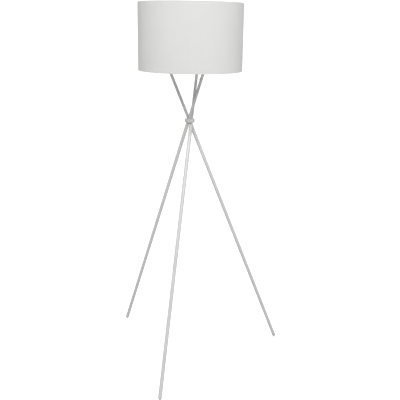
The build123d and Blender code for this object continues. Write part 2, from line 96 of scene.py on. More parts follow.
# ------------------------------------------------------------------ shader node groups
def shader_group(name, inputs, outputs):
    """An empty shader node group with its named sockets, and its input and output nodes."""
    group = bpy.data.node_groups.new(name, "ShaderNodeTree")
    for label, kind, value in inputs:
        socket = group.interface.new_socket(label, in_out="INPUT", socket_type=kind)
        if value is not None:
            socket.default_value = value
    for label, kind in outputs:
        group.interface.new_socket(label, in_out="OUTPUT", socket_type=kind)
    return group, group.nodes.new("NodeGroupInput"), group.nodes.new("NodeGroupOutput")


def math_node(tree, operation, first, second=None, third=None):
    """A Math node whose inputs are sockets or numbers, and its output."""
    node = tree.nodes.new("ShaderNodeMath")
    node.operation = operation
    for socket, value in zip(node.inputs, (first, second, third)):
        if value is None:
            continue
        if isinstance(value, (int, float)):
            socket.default_value = value
        else:
            tree.links.new(value, socket)
    return node.outputs[0]


def noise_node(tree, vector, scale, detail=2.0):
    """A Noise texture on the given vector, and its value."""
    node = tree.nodes.new("ShaderNodeTexNoise")
    node.inputs["Detail"].default_value = detail
    tree.links.new(vector, node.inputs["Vector"])
    if isinstance(scale, (int, float)):
        node.inputs["Scale"].default_value = scale
    else:
        tree.links.new(scale, node.inputs["Scale"])
    return node.outputs["Fac"]


def uneven_group():
    """Fine texture and slow change of tone, on any coordinates."""
    group, given, result = shader_group(
        "Uneven surface",
        [
            ("Vector", "NodeSocketVector", None),
            ("Fine", "NodeSocketFloat", 900.0),
            ("Slow", "NodeSocketFloat", 9.0),
        ],
        [("Height", "NodeSocketFloat"), ("Tone", "NodeSocketFloat")],
    )
    fine = noise_node(group, given.outputs["Vector"], given.outputs["Fine"], 3.0)
    slow = noise_node(group, given.outputs["Vector"], given.outputs["Slow"], 4.0)
    group.links.new(fine, result.inputs["Height"])
    group.links.new(slow, result.inputs["Tone"])
    return group


def dust_group():
    """Mask of the faces that look up, broken by noise, where dust settles."""
    group, given, result = shader_group(
        "Settled dust",
        [("Vector", "NodeSocketVector", None), ("Spread", "NodeSocketFloat", 60.0)],
        [("Mask", "NodeSocketFloat")],
    )
    shape = group.nodes.new("ShaderNodeNewGeometry")
    split = group.nodes.new("ShaderNodeSeparateXYZ")
    group.links.new(shape.outputs["Normal"], split.inputs[0])
    upward = math_node(group, "MAXIMUM", split.outputs["Z"], 0.0)
    patches = noise_node(group, given.outputs["Vector"], given.outputs["Spread"], 5.0)
    mask = math_node(group, "MULTIPLY", math_node(group, "POWER", upward, 2.0), patches)
    group.links.new(mask, result.inputs["Mask"])
    return group


def weave_group():
    """Plain weave: two sets of threads that pass over and under each other, with slubs."""
    group, given, result = shader_group(
        "Plain weave",
        [("Vector", "NodeSocketVector", None), ("Threads", "NodeSocketFloat", 1500.0)],
        [("Height", "NodeSocketFloat"), ("Tone", "NodeSocketFloat")],
    )
    split = group.nodes.new("ShaderNodeSeparateXYZ")
    group.links.new(given.outputs["Vector"], split.inputs[0])
    waves = []
    for axis in ("X", "Y"):
        turns = math_node(group, "MULTIPLY", split.outputs[axis], given.outputs["Threads"])
        waves.append(math_node(group, "SINE", math_node(group, "MULTIPLY", turns, math.pi)))
    crossing = math_node(group, "MULTIPLY", waves[0], waves[1])
    over = math_node(group, "MULTIPLY_ADD", crossing, 0.5, 0.5)
    under = math_node(group, "SUBTRACT", 1.0, over)
    warp = math_node(group, "MULTIPLY", math_node(group, "ABSOLUTE", waves[0]), over)
    weft = math_node(group, "MULTIPLY", math_node(group, "ABSOLUTE", waves[1]), under)
    group.links.new(math_node(group, "MAXIMUM", warp, weft), result.inputs["Height"])
    tones = []
    for stretch in ((6.0, 700.0, 1.0), (700.0, 6.0, 1.0)):
        drawn = group.nodes.new("ShaderNodeVectorMath")
        drawn.operation = "MULTIPLY"
        drawn.inputs[1].default_value = stretch
        group.links.new(given.outputs["Vector"], drawn.inputs[0])
        tones.append(noise_node(group, drawn.outputs[0], 1.0, 2.0))
    mean = math_node(group, "MULTIPLY", math_node(group, "ADD", tones[0], tones[1]), 0.5)
    group.links.new(mean, result.inputs["Tone"])
    return group


def grain_group():
    """Fine lines round the lamp's axis, as turning or drawing leaves on metal."""
    group, given, result = shader_group(
        "Turned grain",
        [("Vector", "NodeSocketVector", None), ("Lines", "NodeSocketFloat", 2500.0)],
        [("Height", "NodeSocketFloat"), ("Tone", "NodeSocketFloat")],
    )
    squeeze = group.nodes.new("ShaderNodeVectorMath")
    squeeze.operation = "MULTIPLY"
    squeeze.inputs[1].default_value = (0.03, 0.03, 1.0)
    group.links.new(given.outputs["Vector"], squeeze.inputs[0])
    lines = noise_node(group, squeeze.outputs[0], given.outputs["Lines"], 2.0)
    stain = noise_node(group, given.outputs["Vector"], 120.0, 4.0)
    group.links.new(lines, result.inputs["Height"])
    group.links.new(stain, result.inputs["Tone"])
    return group


UNEVEN = uneven_group()
DUST = dust_group()
WEAVE = weave_group()
GRAIN = grain_group()


# ------------------------------------------------------------------ materials
def place_group(tree, group, vector, values):
    """A group node fed with coordinates and its own values."""
    node = tree.nodes.new("ShaderNodeGroup")
    node.node_tree = group
    tree.links.new(vector, node.inputs["Vector"])
    for label, value in values.items():
        node.inputs[label].default_value = value
    return node


def tinted(tree, low, high, factor):
    """Colour that goes from low to high with the factor."""
    mix = tree.nodes.new("ShaderNodeMix")
    mix.data_type = "RGBA"
    mix.inputs["A"].default_value = (*low, 1.0)
    mix.inputs["B"].default_value = (*high, 1.0)
    tree.links.new(factor, mix.inputs["Factor"])
    return mix.outputs["Result"]


def ranged(tree, value, low, high):
    """Value spread from 0.3..0.7, where noise mostly lies, to the wanted range."""
    node = tree.nodes.new("ShaderNodeMapRange")
    node.inputs["From Min"].default_value = 0.3
    node.inputs["From Max"].default_value = 0.7
    node.inputs["To Min"].default_value = low
    node.inputs["To Max"].default_value = high
    tree.links.new(value, node.inputs["Value"])
    return node.outputs["Result"]


def new_material(name, coordinates="Object"):
    """A material with a Principled shader, and the coordinates that its patterns read."""
    material = bpy.data.materials.new(name)
    material.use_nodes = True
    tree = material.node_tree
    shader = tree.nodes["Principled BSDF"]
    source = tree.nodes.new("ShaderNodeTexCoord")
    return material, tree, shader, source.outputs[coordinates]


def bumped(tree, shader, height, distance):
    """Relief from a height, in metres."""
    bump = tree.nodes.new("ShaderNodeBump")
    bump.inputs["Strength"].default_value = 1.0
    bump.inputs["Distance"].default_value = distance
    tree.links.new(height, bump.inputs["Height"])
    tree.links.new(bump.outputs["Normal"], shader.inputs["Normal"])


DUST_COLOUR = (0.60, 0.585, 0.56, 1.0)


def surface(name, light, dark, roughness, fine, relief, dust=0.0, metal=False, coat=0.0):
    """A material with a mottled colour, an uneven gloss, a fine relief and a little dust."""
    material, tree, shader, vector = new_material(name)
    if metal:
        texture = place_group(tree, GRAIN, vector, {"Lines": fine})
    else:
        texture = place_group(tree, UNEVEN, vector, {"Fine": fine})
    tone = ranged(tree, texture.outputs["Tone"], 0.0, 1.0)
    colour = tinted(tree, dark, light, tone)
    if dust > 0.0:
        film = place_group(tree, DUST, vector, {})
        amount = math_node(tree, "MULTIPLY", film.outputs["Mask"], dust)
        mix = tree.nodes.new("ShaderNodeMix")
        mix.data_type = "RGBA"
        mix.inputs["B"].default_value = DUST_COLOUR
        tree.links.new(amount, mix.inputs["Factor"])
        tree.links.new(colour, mix.inputs["A"])
        colour = mix.outputs["Result"]
    tree.links.new(colour, shader.inputs["Base Color"])
    gloss = ranged(tree, texture.outputs["Tone"], roughness - 0.04, roughness + 0.05)
    tree.links.new(gloss, shader.inputs["Roughness"])
    shader.inputs["Metallic"].default_value = 1.0 if metal else 0.0
    shader.inputs["Coat Weight"].default_value = coat
    bumped(tree, shader, texture.outputs["Height"], relief)
    return material


CLOUD_SHARE = 0.35


def woven(name, light, dark, roughness, threads, relief, sheen):
    """Cloth on the piece's own UV map, which is in metres."""
    material, tree, shader, vector = new_material(name, "UV")
    weave = place_group(tree, WEAVE, vector, {"Threads": threads})
    broad = place_group(tree, UNEVEN, vector, {"Fine": 300.0, "Slow": 14.0})
    threads_tone = ranged(tree, weave.outputs["Tone"], 0.0, 1.0)
    cloud = ranged(tree, broad.outputs["Tone"], 0.0, 1.0)
    threads_part = math_node(tree, "MULTIPLY", threads_tone, 1.0 - CLOUD_SHARE)
    tone = math_node(tree, "MULTIPLY_ADD", cloud, CLOUD_SHARE, threads_part)
    tree.links.new(tinted(tree, dark, light, tone), shader.inputs["Base Color"])
    gloss = ranged(tree, weave.outputs["Tone"], roughness - 0.05, roughness + 0.05)
    tree.links.new(gloss, shader.inputs["Roughness"])
    shader.inputs["Sheen Weight"].default_value = sheen
    shader.inputs["Sheen Roughness"].default_value = 0.5
    bumped(tree, shader, weave.outputs["Height"], relief)
    return material


def liner_sheet():
    """Smooth white sheet that backs the cloth, with faint marks from rolling."""
    material, tree, shader, vector = new_material("liner_sheet", "UV")
    marks = place_group(tree, UNEVEN, vector, {"Fine": 500.0, "Slow": 6.0})
    tone = ranged(tree, marks.outputs["Tone"], 0.0, 1.0)
    tree.links.new(tinted(tree, (0.74, 0.74, 0.72), (0.80, 0.80, 0.785), tone), shader.inputs["Base Color"])
    tree.links.new(ranged(tree, marks.outputs["Tone"], 0.38, 0.48), shader.inputs["Roughness"])
    bumped(tree, shader, marks.outputs["Height"], 0.00003)
    return material


MATERIALS = {
    # satin powder coat with its slight orange peel
    "white_paint": surface(
        "white_powder_coat", (0.63, 0.63, 0.625), (0.59, 0.59, 0.585), 0.36, 1400.0, 0.00010, dust=0.25
    ),
    # moulded caps, grey pads and white grommets
    "foot_plastic": surface(
        "foot_cap_plastic", (0.60, 0.60, 0.595), (0.55, 0.55, 0.545), 0.42, 2600.0, 0.00003, dust=0.2
    ),
    "foot_rubber": surface(
        "foot_pad_rubber", (0.46, 0.46, 0.455), (0.40, 0.40, 0.395), 0.72, 3200.0, 0.00008
    ),
    "grommet_rubber": surface("grommet_rubber", (0.60, 0.60, 0.59), (0.53, 0.53, 0.52), 0.6, 3000.0, 0.00005),
    # plated and bare metal with turned or drawn grain
    "plated_steel": surface(
        "zinc_plated_steel", (0.66, 0.66, 0.68), (0.50, 0.50, 0.53), 0.34, 2200.0, 0.00003, metal=True
    ),
    "nickel": surface(
        "nickel_plate", (0.74, 0.72, 0.68), (0.62, 0.60, 0.56), 0.27, 2600.0, 0.00002, metal=True
    ),
    "brass": surface(
        "brass_strip", (0.80, 0.62, 0.30), (0.62, 0.46, 0.20), 0.32, 2400.0, 0.00003, metal=True
    ),
    # the lampholder's mouldings and its insert
    "holder_plastic": surface(
        "holder_plastic", (0.70, 0.70, 0.685), (0.65, 0.65, 0.635), 0.40, 2800.0, 0.00002, dust=0.2
    ),
    "insert_ceramic": surface(
        "insert_ceramic", (0.72, 0.70, 0.66), (0.63, 0.61, 0.57), 0.68, 1800.0, 0.00010
    ),
    # the bulb: opal glass, its housing, and the black glass round its contact
    "opal_glass": surface(
        "opal_globe", (0.84, 0.84, 0.82), (0.80, 0.80, 0.78), 0.30, 1200.0, 0.00001, coat=0.35
    ),
    "bulb_plastic": surface("bulb_plastic", (0.74, 0.74, 0.72), (0.69, 0.69, 0.67), 0.38, 2400.0, 0.00002),
    "black_glass": surface(
        "insulator_black", (0.03, 0.03, 0.035), (0.015, 0.015, 0.02), 0.18, 1500.0, 0.00003
    ),
    # off-white cloth with 1500 threads to the metre, and the sheet behind it
    "shade_fabric": woven(
        "shade_cloth", (0.71, 0.71, 0.695), (0.67, 0.67, 0.655), 0.86, 1500.0, 0.00009, 0.12
    ),
    "shade_liner": liner_sheet(),
}


# ------------------------------------------------------------------ geometry node trees
def geometry_tree(name, inputs):
    """An empty geometry tree with its named inputs, and its input and output nodes."""
    tree = bpy.data.node_groups.new(name, "GeometryNodeTree")
    for label, kind, value in inputs:
        socket = tree.interface.new_socket(label, in_out="INPUT", socket_type=kind)
        if value is not None:
            socket.default_value = value
    tree.interface.new_socket("Geometry", in_out="OUTPUT", socket_type="NodeSocketGeometry")
    return tree, tree.nodes.new("NodeGroupInput"), tree.nodes.new("NodeGroupOutput")


def feed(tree, node, links=(), **values):
    """Link sockets and set plain values on a node's inputs."""
    for label, source in links:
        tree.links.new(source, node.inputs[label])
    for label, value in values.items():
        node.inputs[label.replace("_", " ")].default_value = value
    return node


def close_tree(tree, geometry, given, result):
    """End a tree in Realize Instances and Set Material."""
    real = tree.nodes.new("GeometryNodeRealizeInstances")
    paint = tree.nodes.new("GeometryNodeSetMaterial")
    tree.links.new(geometry, real.inputs["Geometry"])
    tree.links.new(real.outputs["Geometry"], paint.inputs["Geometry"])
    tree.links.new(given.outputs["Material"], paint.inputs["Material"])
    tree.links.new(paint.outputs["Geometry"], result.inputs["Geometry"])


def tree_round_axis():
    """Copies of the object's mesh, turned evenly round the lamp's axis."""
    tree, given, result = geometry_tree(
        "Repeat round the axis",
        [
            ("Geometry", "NodeSocketGeometry", None),
            ("Count", "NodeSocketInt", 3),
            ("Material", "NodeSocketMaterial", None),
        ],
    )
    points = feed(tree, tree.nodes.new("GeometryNodePoints"), [("Count", given.outputs["Count"])])
    index = tree.nodes.new("GeometryNodeInputIndex")
    share = math_node(tree, "DIVIDE", index.outputs[0], given.outputs["Count"])
    turn = tree.nodes.new("ShaderNodeCombineXYZ")
    tree.links.new(math_node(tree, "MULTIPLY", share, math.tau), turn.inputs["Z"])
    copies = tree.nodes.new("GeometryNodeInstanceOnPoints")
    feed(
        tree,
        copies,
        [
            ("Points", points.outputs[0]),
            ("Instance", given.outputs["Geometry"]),
            ("Rotation", turn.outputs[0]),
        ],
    )
    close_tree(tree, copies.outputs["Instances"], given, result)
    return tree


def tree_wire():
    """A round wire along the object's edges, with its corners bent round."""
    tree, given, result = geometry_tree(
        "Bent wire",
        [
            ("Geometry", "NodeSocketGeometry", None),
            ("Radius", "NodeSocketFloat", 0.002),
            ("Bend", "NodeSocketFloat", 0.008),
            ("Material", "NodeSocketMaterial", None),
        ],
    )
    path = feed(tree, tree.nodes.new("GeometryNodeMeshToCurve"), [("Mesh", given.outputs["Geometry"])])
    bend = tree.nodes.new("GeometryNodeFilletCurve")
    bend.mode = "POLY"
    feed(
        tree,
        bend,
        [("Curve", path.outputs[0]), ("Radius", given.outputs["Bend"])],
        Count=8,
        Limit_Radius=True,
    )
    section = feed(
        tree,
        tree.nodes.new("GeometryNodeCurvePrimitiveCircle"),
        [("Radius", given.outputs["Radius"])],
        Resolution=20,
    )
    sweep = tree.nodes.new("GeometryNodeCurveToMesh")
    feed(tree, sweep, [("Curve", bend.outputs[0]), ("Profile Curve", section.outputs[0])], Fill_Caps=True)
    close_tree(tree, sweep.outputs[0], given, result)
    return tree


def tree_tube():
    """A thick-walled tube up Z: its wall's outline, with eased edges, swept round a circle."""
    tree, given, result = geometry_tree(
        "Drawn tube",
        [
            ("Radius", "NodeSocketFloat", 0.008),
            ("Wall", "NodeSocketFloat", 0.001),
            ("Start", "NodeSocketFloat", 0.0),
            ("End", "NodeSocketFloat", 1.0),
            ("Lip", "NodeSocketFloat", 0.0003),
            ("Material", "NodeSocketMaterial", None),
        ],
    )
    half_wall = math_node(tree, "MULTIPLY", given.outputs["Wall"], 0.5)
    middle = math_node(tree, "SUBTRACT", given.outputs["Radius"], half_wall)
    length = math_node(tree, "SUBTRACT", given.outputs["End"], given.outputs["Start"])
    rise = math_node(tree, "ADD", given.outputs["Start"], math_node(tree, "MULTIPLY", length, 0.5))
    ring = feed(tree, tree.nodes.new("GeometryNodeCurvePrimitiveCircle"), [("Radius", middle)], Resolution=64)
    wall = feed(
        tree,
        tree.nodes.new("GeometryNodeCurvePrimitiveQuadrilateral"),
        [("Width", given.outputs["Wall"]), ("Height", length)],
    )
    lip = tree.nodes.new("GeometryNodeFilletCurve")
    lip.mode = "POLY"
    feed(tree, lip, [("Curve", wall.outputs[0]), ("Radius", given.outputs["Lip"])], Count=3)
    sweep = tree.nodes.new("GeometryNodeCurveToMesh")
    feed(tree, sweep, [("Curve", ring.outputs[0]), ("Profile Curve", lip.outputs[0])])
    lift = tree.nodes.new("ShaderNodeCombineXYZ")
    tree.links.new(rise, lift.inputs["Z"])
    lifted = feed(
        tree,
        tree.nodes.new("GeometryNodeTransform"),
        [("Geometry", sweep.outputs[0]), ("Translation", lift.outputs[0])],
    )
    close_tree(tree, lifted.outputs[0], given, result)
    return tree


ROUND_AXIS = tree_round_axis()
WIRE = tree_wire()
TUBE = tree_tube()


def grown(tree, slot, mesh=None, **values):
    """The plain mesh that a geometry tree makes with these values, in the finish of a slot."""
    carrier = bpy.data.objects.new("carrier", mesh or bpy.data.meshes.new("carrier"))
    bpy.context.scene.collection.objects.link(carrier)
    modifier = carrier.modifiers.new("tree", "NODES")
    modifier.node_group = tree
    inputs = [item for item in tree.interface.items_tree if item.in_out == "INPUT"]
    sockets = {item.name: item.identifier for item in inputs}
    modifier[sockets["Material"]] = MATERIALS[slot]
    for label, value in values.items():
        modifier[sockets[label]] = value
    return made_plain(carrier)


def made_plain(carrier):
    """The object's evaluated mesh, with the object and its modifiers removed."""
    bpy.context.view_layer.update()
    depsgraph = bpy.context.evaluated_depsgraph_get()
    plain = bpy.data.meshes.new_from_object(carrier.evaluated_get(depsgraph))
    carrier.modifiers.clear()
    bpy.data.objects.remove(carrier)
    return plain


# ------------------------------------------------------------------ mesh helpers
AXIS_TOUCH = 1e-7


def polar(angle, reach, level):
    """Point at an angle round the axis, a reach out from it and a level up it."""
    return Vector((reach * math.cos(angle), reach * math.sin(angle), level))


def eased(outline, radius, steps=3):
    """A closed outline with its corners rounded by about the radius."""
    points = [Vector(point) for point in outline]
    rounded = []
    for index, corner in enumerate(points):
        before = points[index - 1] - corner
        after = points[(index + 1) % len(points)] - corner
        if corner.x < AXIS_TOUCH:
            rounded.append(corner)
            continue
        start = corner + before.normalized() * min(radius, before.length * 0.45)
        end = corner + after.normalized() * min(radius, after.length * 0.45)
        for step in range(steps + 1):
            part = step / steps
            rounded.append(start * (1 - part) ** 2 + corner * 2 * part * (1 - part) + end * part**2)
    return rounded


def skin_between(mesh, ring, after, segments):
    """Faces between two rings of points, one of which may be a single point."""
    for step in range(segments):
        corners = [
            ring[step % len(ring)],
            ring[(step + 1) % len(ring)],
            after[(step + 1) % len(after)],
            after[step % len(after)],
        ]
        mesh.faces.new(list(dict.fromkeys(corners)))


def turned_mesh(outline, place=Matrix(), segments=64, shape=None):
    """A closed outline of radius and height, turned round the place's Z; the shape may move each point."""
    mesh = bmesh.new()
    rings = []
    for radius, height in outline:
        if radius < AXIS_TOUCH:
            rings.append([mesh.verts.new(place @ Vector((0.0, 0.0, height)))])
            continue
        ring = []
        for step in range(segments):
            angle = math.tau * step / segments
            reach, level = shape(angle, radius, height) if shape else (radius, height)
            ring.append(mesh.verts.new(place @ polar(angle, reach, level)))
        rings.append(ring)
    for index, ring in enumerate(rings):
        after = rings[(index + 1) % len(rings)]
        if len(ring) > 1 or len(after) > 1:
            skin_between(mesh, ring, after, segments)
    return plain_mesh(mesh)


def flat_ring(inner, outer, low, high, ease, place=Matrix(), segments=64):
    """A flat ring or short tube with eased edges."""
    outline = [(inner, low), (outer, low), (outer, high), (inner, high)]
    return turned_mesh(eased(outline, ease), place, segments)


def finished(mesh, name="piece"):
    """A data mesh from a bmesh, which is freed."""
    data = bpy.data.meshes.new(name)
    mesh.to_mesh(data)
    mesh.free()
    return data


def plain_mesh(mesh):
    """A finished data mesh with its faces outwards."""
    bmesh.ops.recalc_face_normals(mesh, faces=mesh.faces)
    return finished(mesh)


def joined(*meshes):
    """One mesh from several."""
    mesh = bmesh.new()
    for data in meshes:
        mesh.from_mesh(data)
    return finished(mesh)


def cut(data, cutter):
    """The mesh with the cutter's volume taken out of it."""
    work = bpy.data.objects.new("work", data)
    tool = bpy.data.objects.new("tool", cutter)
    bpy.context.scene.collection.objects.link(work)
    bpy.context.scene.collection.objects.link(tool)
    modifier = work.modifiers.new("cut", "BOOLEAN")
    modifier.operation = "DIFFERENCE"
    modifier.solver = "EXACT"
    modifier.object = tool
    plain = made_plain(work)
    bpy.data.objects.remove(tool)
    return plain


def moved(data, place):
    """The same mesh, moved."""
    data.transform(place)
    return data


def turned_to(leg):
    """The turn about the lamp's axis that takes the front leg to another one."""
    return Matrix.Rotation(math.radians(LEG_TURNS[leg]), 4, "Z")


SHARP_FROM = math.radians(38)


def piece(name, data, body, slot, node):
    """Put a finished mesh in the scene, with its finish, on its body, in place of its CAD node."""
    data.name = name
    data.materials.clear()
    data.materials.append(MATERIALS[slot])
    data.polygons.foreach_set("material_index", [0] * len(data.polygons))
    data.polygons.foreach_set("use_smooth", [True] * len(data.polygons))
    data.set_sharp_from_angle(angle=SHARP_FROM)
    made = bpy.data.objects.new(name, data)
    bpy.context.scene.collection.objects.link(made)
    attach(made, body)
    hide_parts(node)
    return made


# ------------------------------------------------------------------ camera, light and floor
CAMERA_AZIMUTH = -74.5
CAMERA_DISTANCE = 2.742
CAMERA_HEIGHT = 1.522
CAMERA_PAN = 1.06
CAMERA_PITCH = 15.62
CAMERA_ROLL = 0.85
CAMERA_LENS = 55.78
CAMERA_SENSOR = 36.0


def make_camera():
    """A camera at eye height, tipped down and rolled a little."""
    camera = bpy.data.objects.new("camera", bpy.data.cameras.new("camera"))
    camera.data.lens = CAMERA_LENS
    camera.data.sensor_width = CAMERA_SENSOR
    around = math.radians(CAMERA_AZIMUTH)
    camera.location = (
        CAMERA_DISTANCE * math.cos(around),
        CAMERA_DISTANCE * math.sin(around),
        CAMERA_HEIGHT,
    )
    ahead = around + math.pi - math.radians(CAMERA_PAN)
    down = math.radians(CAMERA_PITCH)
    view = Vector((math.cos(ahead) * math.cos(down), math.sin(ahead) * math.cos(down), -math.sin(down)))
    right = view.cross(Vector((0.0, 0.0, 1.0))).normalized()
    up = right.cross(view)
    roll = math.radians(CAMERA_ROLL)
    tilted_right = right * math.cos(roll) + up * math.sin(roll)
    tilted_up = up * math.cos(roll) - right * math.sin(roll)
    camera.rotation_euler = Matrix((tilted_right, tilted_up, -view)).transposed().to_euler()
    bpy.context.scene.collection.objects.link(camera)
    bpy.context.scene.camera = camera


def softbox(name, place, target, size, power):
    """A square area light that faces a point."""
    light = bpy.data.objects.new(name, bpy.data.lights.new(name, "AREA"))
    light.data.size = size
    light.data.energy = power
    light.location = place
    light.rotation_euler = (Vector(target) - Vector(place)).to_track_quat("-Z", "Y").to_euler()
    bpy.context.scene.collection.objects.link(light)


AMBIENT = 0.25
FLOOR_GLOW = 0.3
FLOOR_GREY = (0.3, 0.3, 0.3, 1.0)
WHITE = (1.0, 1.0, 1.0, 1.0)
SEEN_BOOST = 0.75
FLOOR_REACH = 7.0
SWEEP = ((0.8, 0.15), (1.4, 0.6), (1.7, 1.3), (1.8, 2.4))
LIGHTS_AIM = (0.0, 0.0, 0.8)
LIGHTS = (
    ("key", (1.25, -3.75, 4.9), 3.0, 248.0),
    ("left", (-3.75, -1.35, 5.2), 2.8, 66.0),
    ("right", (3.9, 0.7, 5.2), 2.8, 64.0),
    ("back", (-1.05, 3.9, 5.0), 2.8, 100.0),
)


def seen_white(tree, glow, socket):
    """A strength that is plain white where it is looked at, and only a glow as light on the lamp."""
    rays = tree.nodes.new("ShaderNodeLightPath")
    seen = math_node(tree, "MULTIPLY_ADD", rays.outputs["Is Camera Ray"], SEEN_BOOST, glow)
    tree.links.new(seen, socket)


def open_turned(outline, segments):
    """An open outline, from the axis outwards, turned into a sheet that faces up and in."""
    mesh = bmesh.new()
    rings = []
    for radius, height in outline:
        turns = [math.tau * step / segments for step in range(1 if radius < AXIS_TOUCH else segments)]
        rings.append([mesh.verts.new(polar(turn, radius, height)) for turn in turns])
    for ring, after in zip(rings, rings[1:]):
        skin_between(mesh, after, ring, segments)
    return finished(mesh, "studio_floor")


def make_studio():
    """A pale floor that sweeps up into a backdrop, with soft light from above on all four sides."""
    world = bpy.data.worlds.new("studio")
    world.use_nodes = True
    sky = world.node_tree.nodes["Background"]
    sky.inputs["Color"].default_value = WHITE
    seen_white(world.node_tree, AMBIENT, sky.inputs["Strength"])
    bpy.context.scene.world = world
    bpy.context.scene.view_settings.view_transform = "Standard"
    floor_paint, tree, shader, _ = new_material("studio_floor")
    shader.inputs["Base Color"].default_value = FLOOR_GREY
    shader.inputs["Roughness"].default_value = 0.9
    shader.inputs["Emission Color"].default_value = WHITE
    seen_white(tree, FLOOR_GLOW, shader.inputs["Emission Strength"])
    outline = [(0.0, 0.0), (FLOOR_REACH, 0.0)] + [(FLOOR_REACH + out, up) for out, up in SWEEP]
    data = open_turned(outline, 96)
    data.materials.append(floor_paint)
    data.polygons.foreach_set("use_smooth", [True] * len(data.polygons))
    floor = bpy.data.objects.new("studio_floor", data)
    bpy.context.scene.collection.objects.link(floor)
    for name, place, size, power in LIGHTS:
        softbox(name, place, LIGHTS_AIM, size, power)


make_camera()
make_studio()


# ------------------------------------------------------------------ waist hub and legs
HUB_ROUNDING = 5.5 * MM


def make_hub():
    """A turned disc with a soft rim, in which the tubes end."""
    outline = [(0.0, hub_low), (hub_radius, hub_low), (hub_radius, hub_high), (0.0, hub_high)]
    disc = turned_mesh(eased(outline, HUB_ROUNDING, 10), segments=96)
    piece("waist_hub_turned", disc, "stand", "white_paint", "waist_hub")


GROMMET_BARREL = 3.7 * MM
GROMMET_BORE = 2.9 * MM
GROMMET_FLANGE = 5.2 * MM
GROMMET_LIP = 1.4 * MM
GROMMET_TAIL = 1.6 * MM
GROMMET_EASE = 0.45 * MM
LEAD_OUTLET_DROP = 32.0 * MM
TUBE_LIP = 0.3 * MM
FIT_GAP = 0.05 * MM
cable_low, cable_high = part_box("cable_grommet")
inlet_distance = ((cable_low.z + cable_high.z) / 2 - waist) / cos_lean
outlet_distance = upper_end + FACE_GAP - LEAD_OUTLET_DROP
INLET_SIDE = Matrix(((0, 0, -1, 0), (0, 1, 0, 0), (1, 0, 0, inlet_distance), (0, 0, 0, 1)))
OUTLET_SIDE = Matrix(((0, 1, 0, 0), (0, 0, -1, 0), (-1, 0, 0, outlet_distance), (0, 0, 0, 1)))


def make_tubes():
    """Upper and lower tubes of each leg; the cable leg's two tubes have a hole for a grommet."""
    kinds = (
        ("upper", upper_radius, UPPER_WALL, upper_start, upper_end, OUTLET_SIDE),
        ("lower", lower_radius, LOWER_WALL, lower_start, lower_end, INLET_SIDE),
    )
    for kind, radius, wall, start, end, side in kinds:
        for leg in LEG_TURNS:
            tube = grown(TUBE, "white_paint", Radius=radius, Wall=wall, Start=start, End=end, Lip=TUBE_LIP)
            if leg == CABLE_LEG:
                hole = GROMMET_BARREL + FIT_GAP
                drill = turned_mesh([(0.0, 0.0), (hole, 0.0), (hole, 2 * radius), (0.0, 2 * radius)], side)
                tube = cut(tube, drill)
            moved(tube, turned_to(leg) @ leg_place)
            piece(f"{kind}_tube_{leg}", tube, "stand", "white_paint", f"{kind}_leg_{leg}")


def grommet_mesh(side, radius, wall):
    """A flanged bush whose flange sits on the tube like a saddle."""
    outline = eased(
        [
            (GROMMET_BORE, radius - wall - GROMMET_TAIL),
            (GROMMET_BARREL, radius - wall - GROMMET_TAIL),
            (GROMMET_BARREL, radius),
            (GROMMET_FLANGE, radius),
            (GROMMET_FLANGE, radius + GROMMET_LIP),
            (GROMMET_BORE, radius + GROMMET_LIP),
        ],
        GROMMET_EASE,
    )

    def saddle(angle, reach, level):
        drop = radius - math.sqrt(radius**2 - (reach * math.sin(angle)) ** 2)
        share = max(0.0, min(1.0, (radius + GROMMET_LIP - level) / GROMMET_LIP))
        return reach, level - drop * (0.45 + 0.55 * share)

    return turned_mesh(outline, side, 72, saddle)


def make_grommets():
    """Rubber bushes in the cable leg: the inlet low down and the outlet under the bracket."""
    place = turned_to(CABLE_LEG) @ leg_place
    inlet = moved(grommet_mesh(INLET_SIDE, lower_radius, LOWER_WALL), place)
    piece("cable_inlet_grommet", inlet, "stand", "grommet_rubber", "cable_grommet")
    outlet = moved(grommet_mesh(OUTLET_SIDE, upper_radius, UPPER_WALL), place)
    piece("lead_outlet_grommet", outlet, "stand", "grommet_rubber", "lead_grommet")


SLEEVE_COLLAR = 10.0 * MM
SLEEVE_SPIGOT = 20.0 * MM
SLEEVE_EASE = 0.5 * MM


def make_sleeves():
    """Turned sleeves that take the narrow waist of each leg out to the lower tube."""
    top = -upper_start
    for leg in LEG_TURNS:
        outline = [
            (0.0, top),
            (upper_radius, top),
            (upper_radius, top - SLEEVE_COLLAR),
            (lower_radius, lower_end + FACE_GAP),
            (plug_radius, lower_end + FACE_GAP),
            (plug_radius, lower_end - SLEEVE_SPIGOT),
            (0.0, lower_end - SLEEVE_SPIGOT),
        ]
        sleeve = turned_mesh(eased(outline, SLEEVE_EASE), turned_to(leg) @ leg_place)
        piece(f"leg_sleeve_turned_{leg}", sleeve, "stand", "white_paint", f"leg_sleeve_{leg}")


CAP_SPIGOT = 18.0 * MM
CAP_SIDE = 0.9 * MM
CAP_EASE = 0.5 * MM
CAP_FLAT_SHARE = 0.985
PAD_IN_CAP = 0.6 * MM
PAD_EASE = 0.5 * MM
PAD_SHOULDER = 1.2 * MM
PAD_NECK = 0.7 * MM
PAD_STEM = 2.0 * MM


